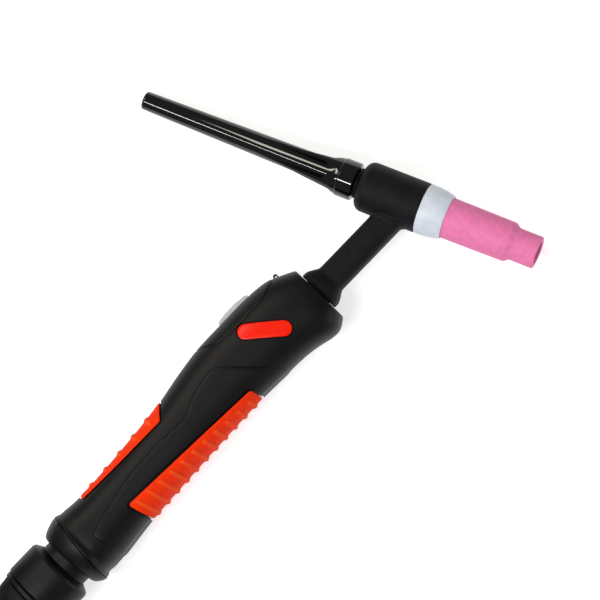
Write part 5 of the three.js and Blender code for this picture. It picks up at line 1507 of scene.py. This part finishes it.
class TORCH_OT_back_cap(bpy.types.Operator):
    """Makes the long back cap with its four flutes, and its O-ring"""

    bl_idname = "torch.back_cap"
    bl_label = "Back Cap"

    def execute(self, context):
        ring_end = CAP_SEAT - CAP_RING_LENGTH
        waist = ring_end - CAP_WING_LENGTH
        tip = CAP_SEAT - CAP_LENGTH

        def shaft_at(x):
            return CAP_TIP_R + (CAP_SHAFT_R - CAP_TIP_R) * (x - tip) / (ring_end - tip)

        nose = arc(tip + CAP_TIP_ROUND, CAP_TIP_R - CAP_TIP_ROUND, CAP_TIP_ROUND, math.pi / 2, math.pi, 8)
        stub = CAP_SEAT + CAP_STUB_LENGTH
        profile = [(stub, 0), (stub, CAP_STUB_R), (CAP_SEAT, CAP_STUB_R),
                   *rounded([(CAP_SEAT, CAP_STUB_R + 0.1), (CAP_SEAT, CAP_RING_R), (ring_end, CAP_RING_R),
                             (ring_end, CAP_SHAFT_R)], 0.7, 6, closed=False),
                   *nose, (tip, 0)]
        shaft = turned(profile, 128)
        wings = turned([(ring_end + 1, 0), (ring_end + 1, CAP_WING_R), (ring_end, CAP_WING_R),
                        (waist, shaft_at(waist) - 0.1), (waist, 0)], 128)
        floor = shaft_at(waist) - 1
        ramp = [(waist - 1, floor), (ring_end - FLUTE_RAMP, floor), (ring_end + 0.6, CAP_WING_R + 0.7),
                (ring_end + 0.6, 20), (waist - 1, 20)]
        flutes = [moved(prism(ramp, -width / 2, width / 2), about("X", turn)) for turn, width in FLUTES]
        cap = worked(worked(shaft, [worked(wings, flutes)], "UNION"), [rod(tip + 7, stub + 1, 2, 32)])
        new_piece("long_cap", cap, HEAD, "back_cap", "gloss", "back_cap", 30)
        seal = turned(arc(*O_RING, 0, 2 * math.pi, 20)[:-1], 80, closed=True)
        new_piece("cap_o_ring", seal, HEAD, "cap_travel", "rubber", "cap_seal")
        return {"FINISHED"}


class TORCH_OT_inner(bpy.types.Operator):
    """Makes the hose and the wires inside the handle and dresses the pieces that keep their own shape"""

    bl_idname = "torch.inner"
    bl_label = "Inside the Handle"

    def execute(self, context):
        run = NUT_REAR_X - GAP - HOSE_REAR_X
        line = route([(HOSE_REAR_X + run * share, NECK_Y * rise, 0)
                      for share, rise in ((0, 0), (0.27, 0.08), (0.7, 0.84), (1, 1))], 3)
        new_piece("hose", tube(line, HOSE_R, 32), HANDLE, "handle", "jacket", "inner_hose")
        rear = TRIGGER_X - SWITCH_LENGTH / 2 - GAP - LEG_THICKNESS
        beside = HOSE_R + WIRE_R + 0.4
        line = route([(HOSE_REAR_X - GAP + (rear - HOSE_REAR_X) * share, y, z)
                      for share, y, z in ((1, 14.5, 3), (0.84, 13.4, 5.5), (0.73, 9, 8.2), (0.59, 3.2, beside + 0.3),
                                          (0.35, 1.2, beside), (0, 0, beside))], 2)
        new_piece("wires", tube(line, WIRE_R, 16), HANDLE, "handle", "jacket", "switch_wires")
        dressed = {"micro_switch": "grey", "switch_plunger": "button", "head_core": "brass", "neck_tube": "copper",
                   "hose_nut": "brass", **{f"shell_screw_{k}": "zinc" for k in range(1, 5)}}
        for node, material in dressed.items():
            for slot in frame["nodes"][node].material_slots:
                slot.material = MATERIALS[material]
        return {"FINISHED"}


# ---- Stage ------------------------------------------------------------------------------------------------------


def facing(place, target, along):
    """A matrix at a place, its -Z towards a target and its X as near to a direction as can be."""
    back = (place - target).normalized()
    side = (along - back * along.dot(back)).normalized()
    return as_columns(side, back.cross(side), back, place)


def area_lamp(name, place, target, along, size, power, colour):
    lamp = bpy.data.lights.new(name, "AREA")
    lamp.shape = "RECTANGLE"
    lamp.size, lamp.size_y = size
    lamp.energy = power
    lamp.color = colour
    item = bpy.data.objects.new(name, lamp)
    item.matrix_world = facing(place, target, along)
    bpy.context.scene.collection.objects.link(item)


class TORCH_OT_stage(bpy.types.Operator):
    """Sets the camera, the floor, the lamps and the room"""

    bl_idname = "torch.stage"
    bl_label = "Camera, Floor and Light"

    def execute(self, context):
        stage = context.scene.torch_stage
        scene = context.scene
        scene.view_settings.view_transform = "Standard"
        across = HAND_Y * math.cos(stage.tilt) + HAND_Z * math.sin(stage.tilt)
        towards = HAND_Z * math.cos(stage.tilt) - HAND_Y * math.sin(stage.tilt)
        right = HAND_X * math.cos(stage.roll) - across * math.sin(stage.roll)
        up = HAND_X * math.sin(stage.roll) + across * math.cos(stage.roll)
        target = HANDLE.translation + HAND_X * stage.aim[0] + across * stage.aim[1]
        place = target + towards * stage.distance
        data = bpy.data.cameras.new("camera")
        data.lens = stage.lens
        data.sensor_width = 36
        data.clip_end = 20
        camera = bpy.data.objects.new("camera", data)
        camera.matrix_world = as_columns(right, up, towards, place)
        scene.collection.objects.link(camera)
        scene.camera = camera

        floor = bmesh.new()
        bmesh.ops.create_grid(floor, x_segments=1, y_segments=1, size=4)
        mesh = bpy.data.meshes.new("floor")
        floor.to_mesh(mesh)
        floor.free()
        ground = bpy.data.objects.new("floor", mesh)
        scene.collection.objects.link(ground)
        mesh.materials.append(self.paper())

        cap_axis = HEAD.to_3x3().col[0].normalized()
        settings = {"key": (cap_axis, stage.key), "fill": (HAND_X, stage.fill),
                    "rim": (HAND_X, stage.fill * RIM_SHARE)}
        for name, (sideways, upwards, forwards), size, colour in LAMPS:
            along, power = settings[name]
            spot = target + right * sideways + up * upwards + towards * forwards
            area_lamp(name, spot, target, along, size, power, colour)

        world = bpy.data.worlds.new("room")
        world.use_nodes = True
        sky = world.node_tree.nodes["Background"]
        sky.inputs["Color"].default_value = (1, 1, 1, 1)
        sky.inputs["Strength"].default_value = stage.sky
        scene.world = world
        return {"FINISHED"}

    def paper(self):
        """The floor: pale paper that shows its own white to the camera and to gloss, and keeps its shadows."""
        finish = Finish("pale_paper", Roughness=0.9, Specular_IOR_Level=0.1, Emission_Strength=1.0)
        fibre = finish.noise(0.004, detail=3)
        camera, glossy, transmission = [finish.node("LightPath", output=name) for name in
                                        ("Is Camera Ray", "Is Glossy Ray", "Is Transmission Ray")]
        seen = camera.maths("MAXIMUM", glossy).maths("MAXIMUM", transmission)
        finish.feed(Base_Color=finish.blend(fibre, (0.86, 0.86, 0.86), (0.9, 0.9, 0.9)),
                    Emission_Color=finish.blend(seen, (0, 0, 0), (0.62, 0.62, 0.62)))
        return finish.material


# ---- Panel and order --------------------------------------------------------------------------------------------

OPERATORS = (TORCH_OT_stage, TORCH_OT_coil_tie, TORCH_OT_plugs, TORCH_OT_lead, TORCH_OT_ball_joint, TORCH_OT_boot,
             TORCH_OT_lock_ring, TORCH_OT_shells, TORCH_OT_grips, TORCH_OT_module, TORCH_OT_trigger, TORCH_OT_badge,
             TORCH_OT_body, TORCH_OT_consumables, TORCH_OT_back_cap, TORCH_OT_inner)
SETTINGS = {"torch_grip": TorchGripSettings, "torch_finish": TorchFinishSettings, "torch_stage": TorchStageSettings}


class TORCH_PT_panel(bpy.types.Panel):
    """Lists the torch's settings and the steps that make it"""

    bl_idname = "TORCH_PT_panel"
    bl_label = "TIG Torch"
    bl_space_type = "VIEW_3D"
    bl_region_type = "UI"
    bl_category = "Torch"

    def draw(self, context):
        for name, group in SETTINGS.items():
            column = self.layout.column(align=True)
            for key in group.__annotations__:
                column.prop(getattr(context.scene, name), key)
        for operator in OPERATORS:
            self.layout.operator(operator.bl_idname)


def register():
    for group in (*SETTINGS.values(), *OPERATORS, TORCH_PT_panel):
        bpy.utils.register_class(group)
    for name, group in SETTINGS.items():
        setattr(bpy.types.Scene, name, PointerProperty(type=group))


def unregister():
    for name in SETTINGS:
        delattr(bpy.types.Scene, name)
    for group in reversed((*SETTINGS.values(), *OPERATORS, TORCH_PT_panel)):
        bpy.utils.unregister_class(group)


def main():
    register()
    make_materials(bpy.context.scene.torch_finish)
    for operator in OPERATORS:
        group, name = operator.bl_idname.split(".")
        getattr(getattr(bpy.ops, group), name)()


if __name__ == "__main__":
    main()
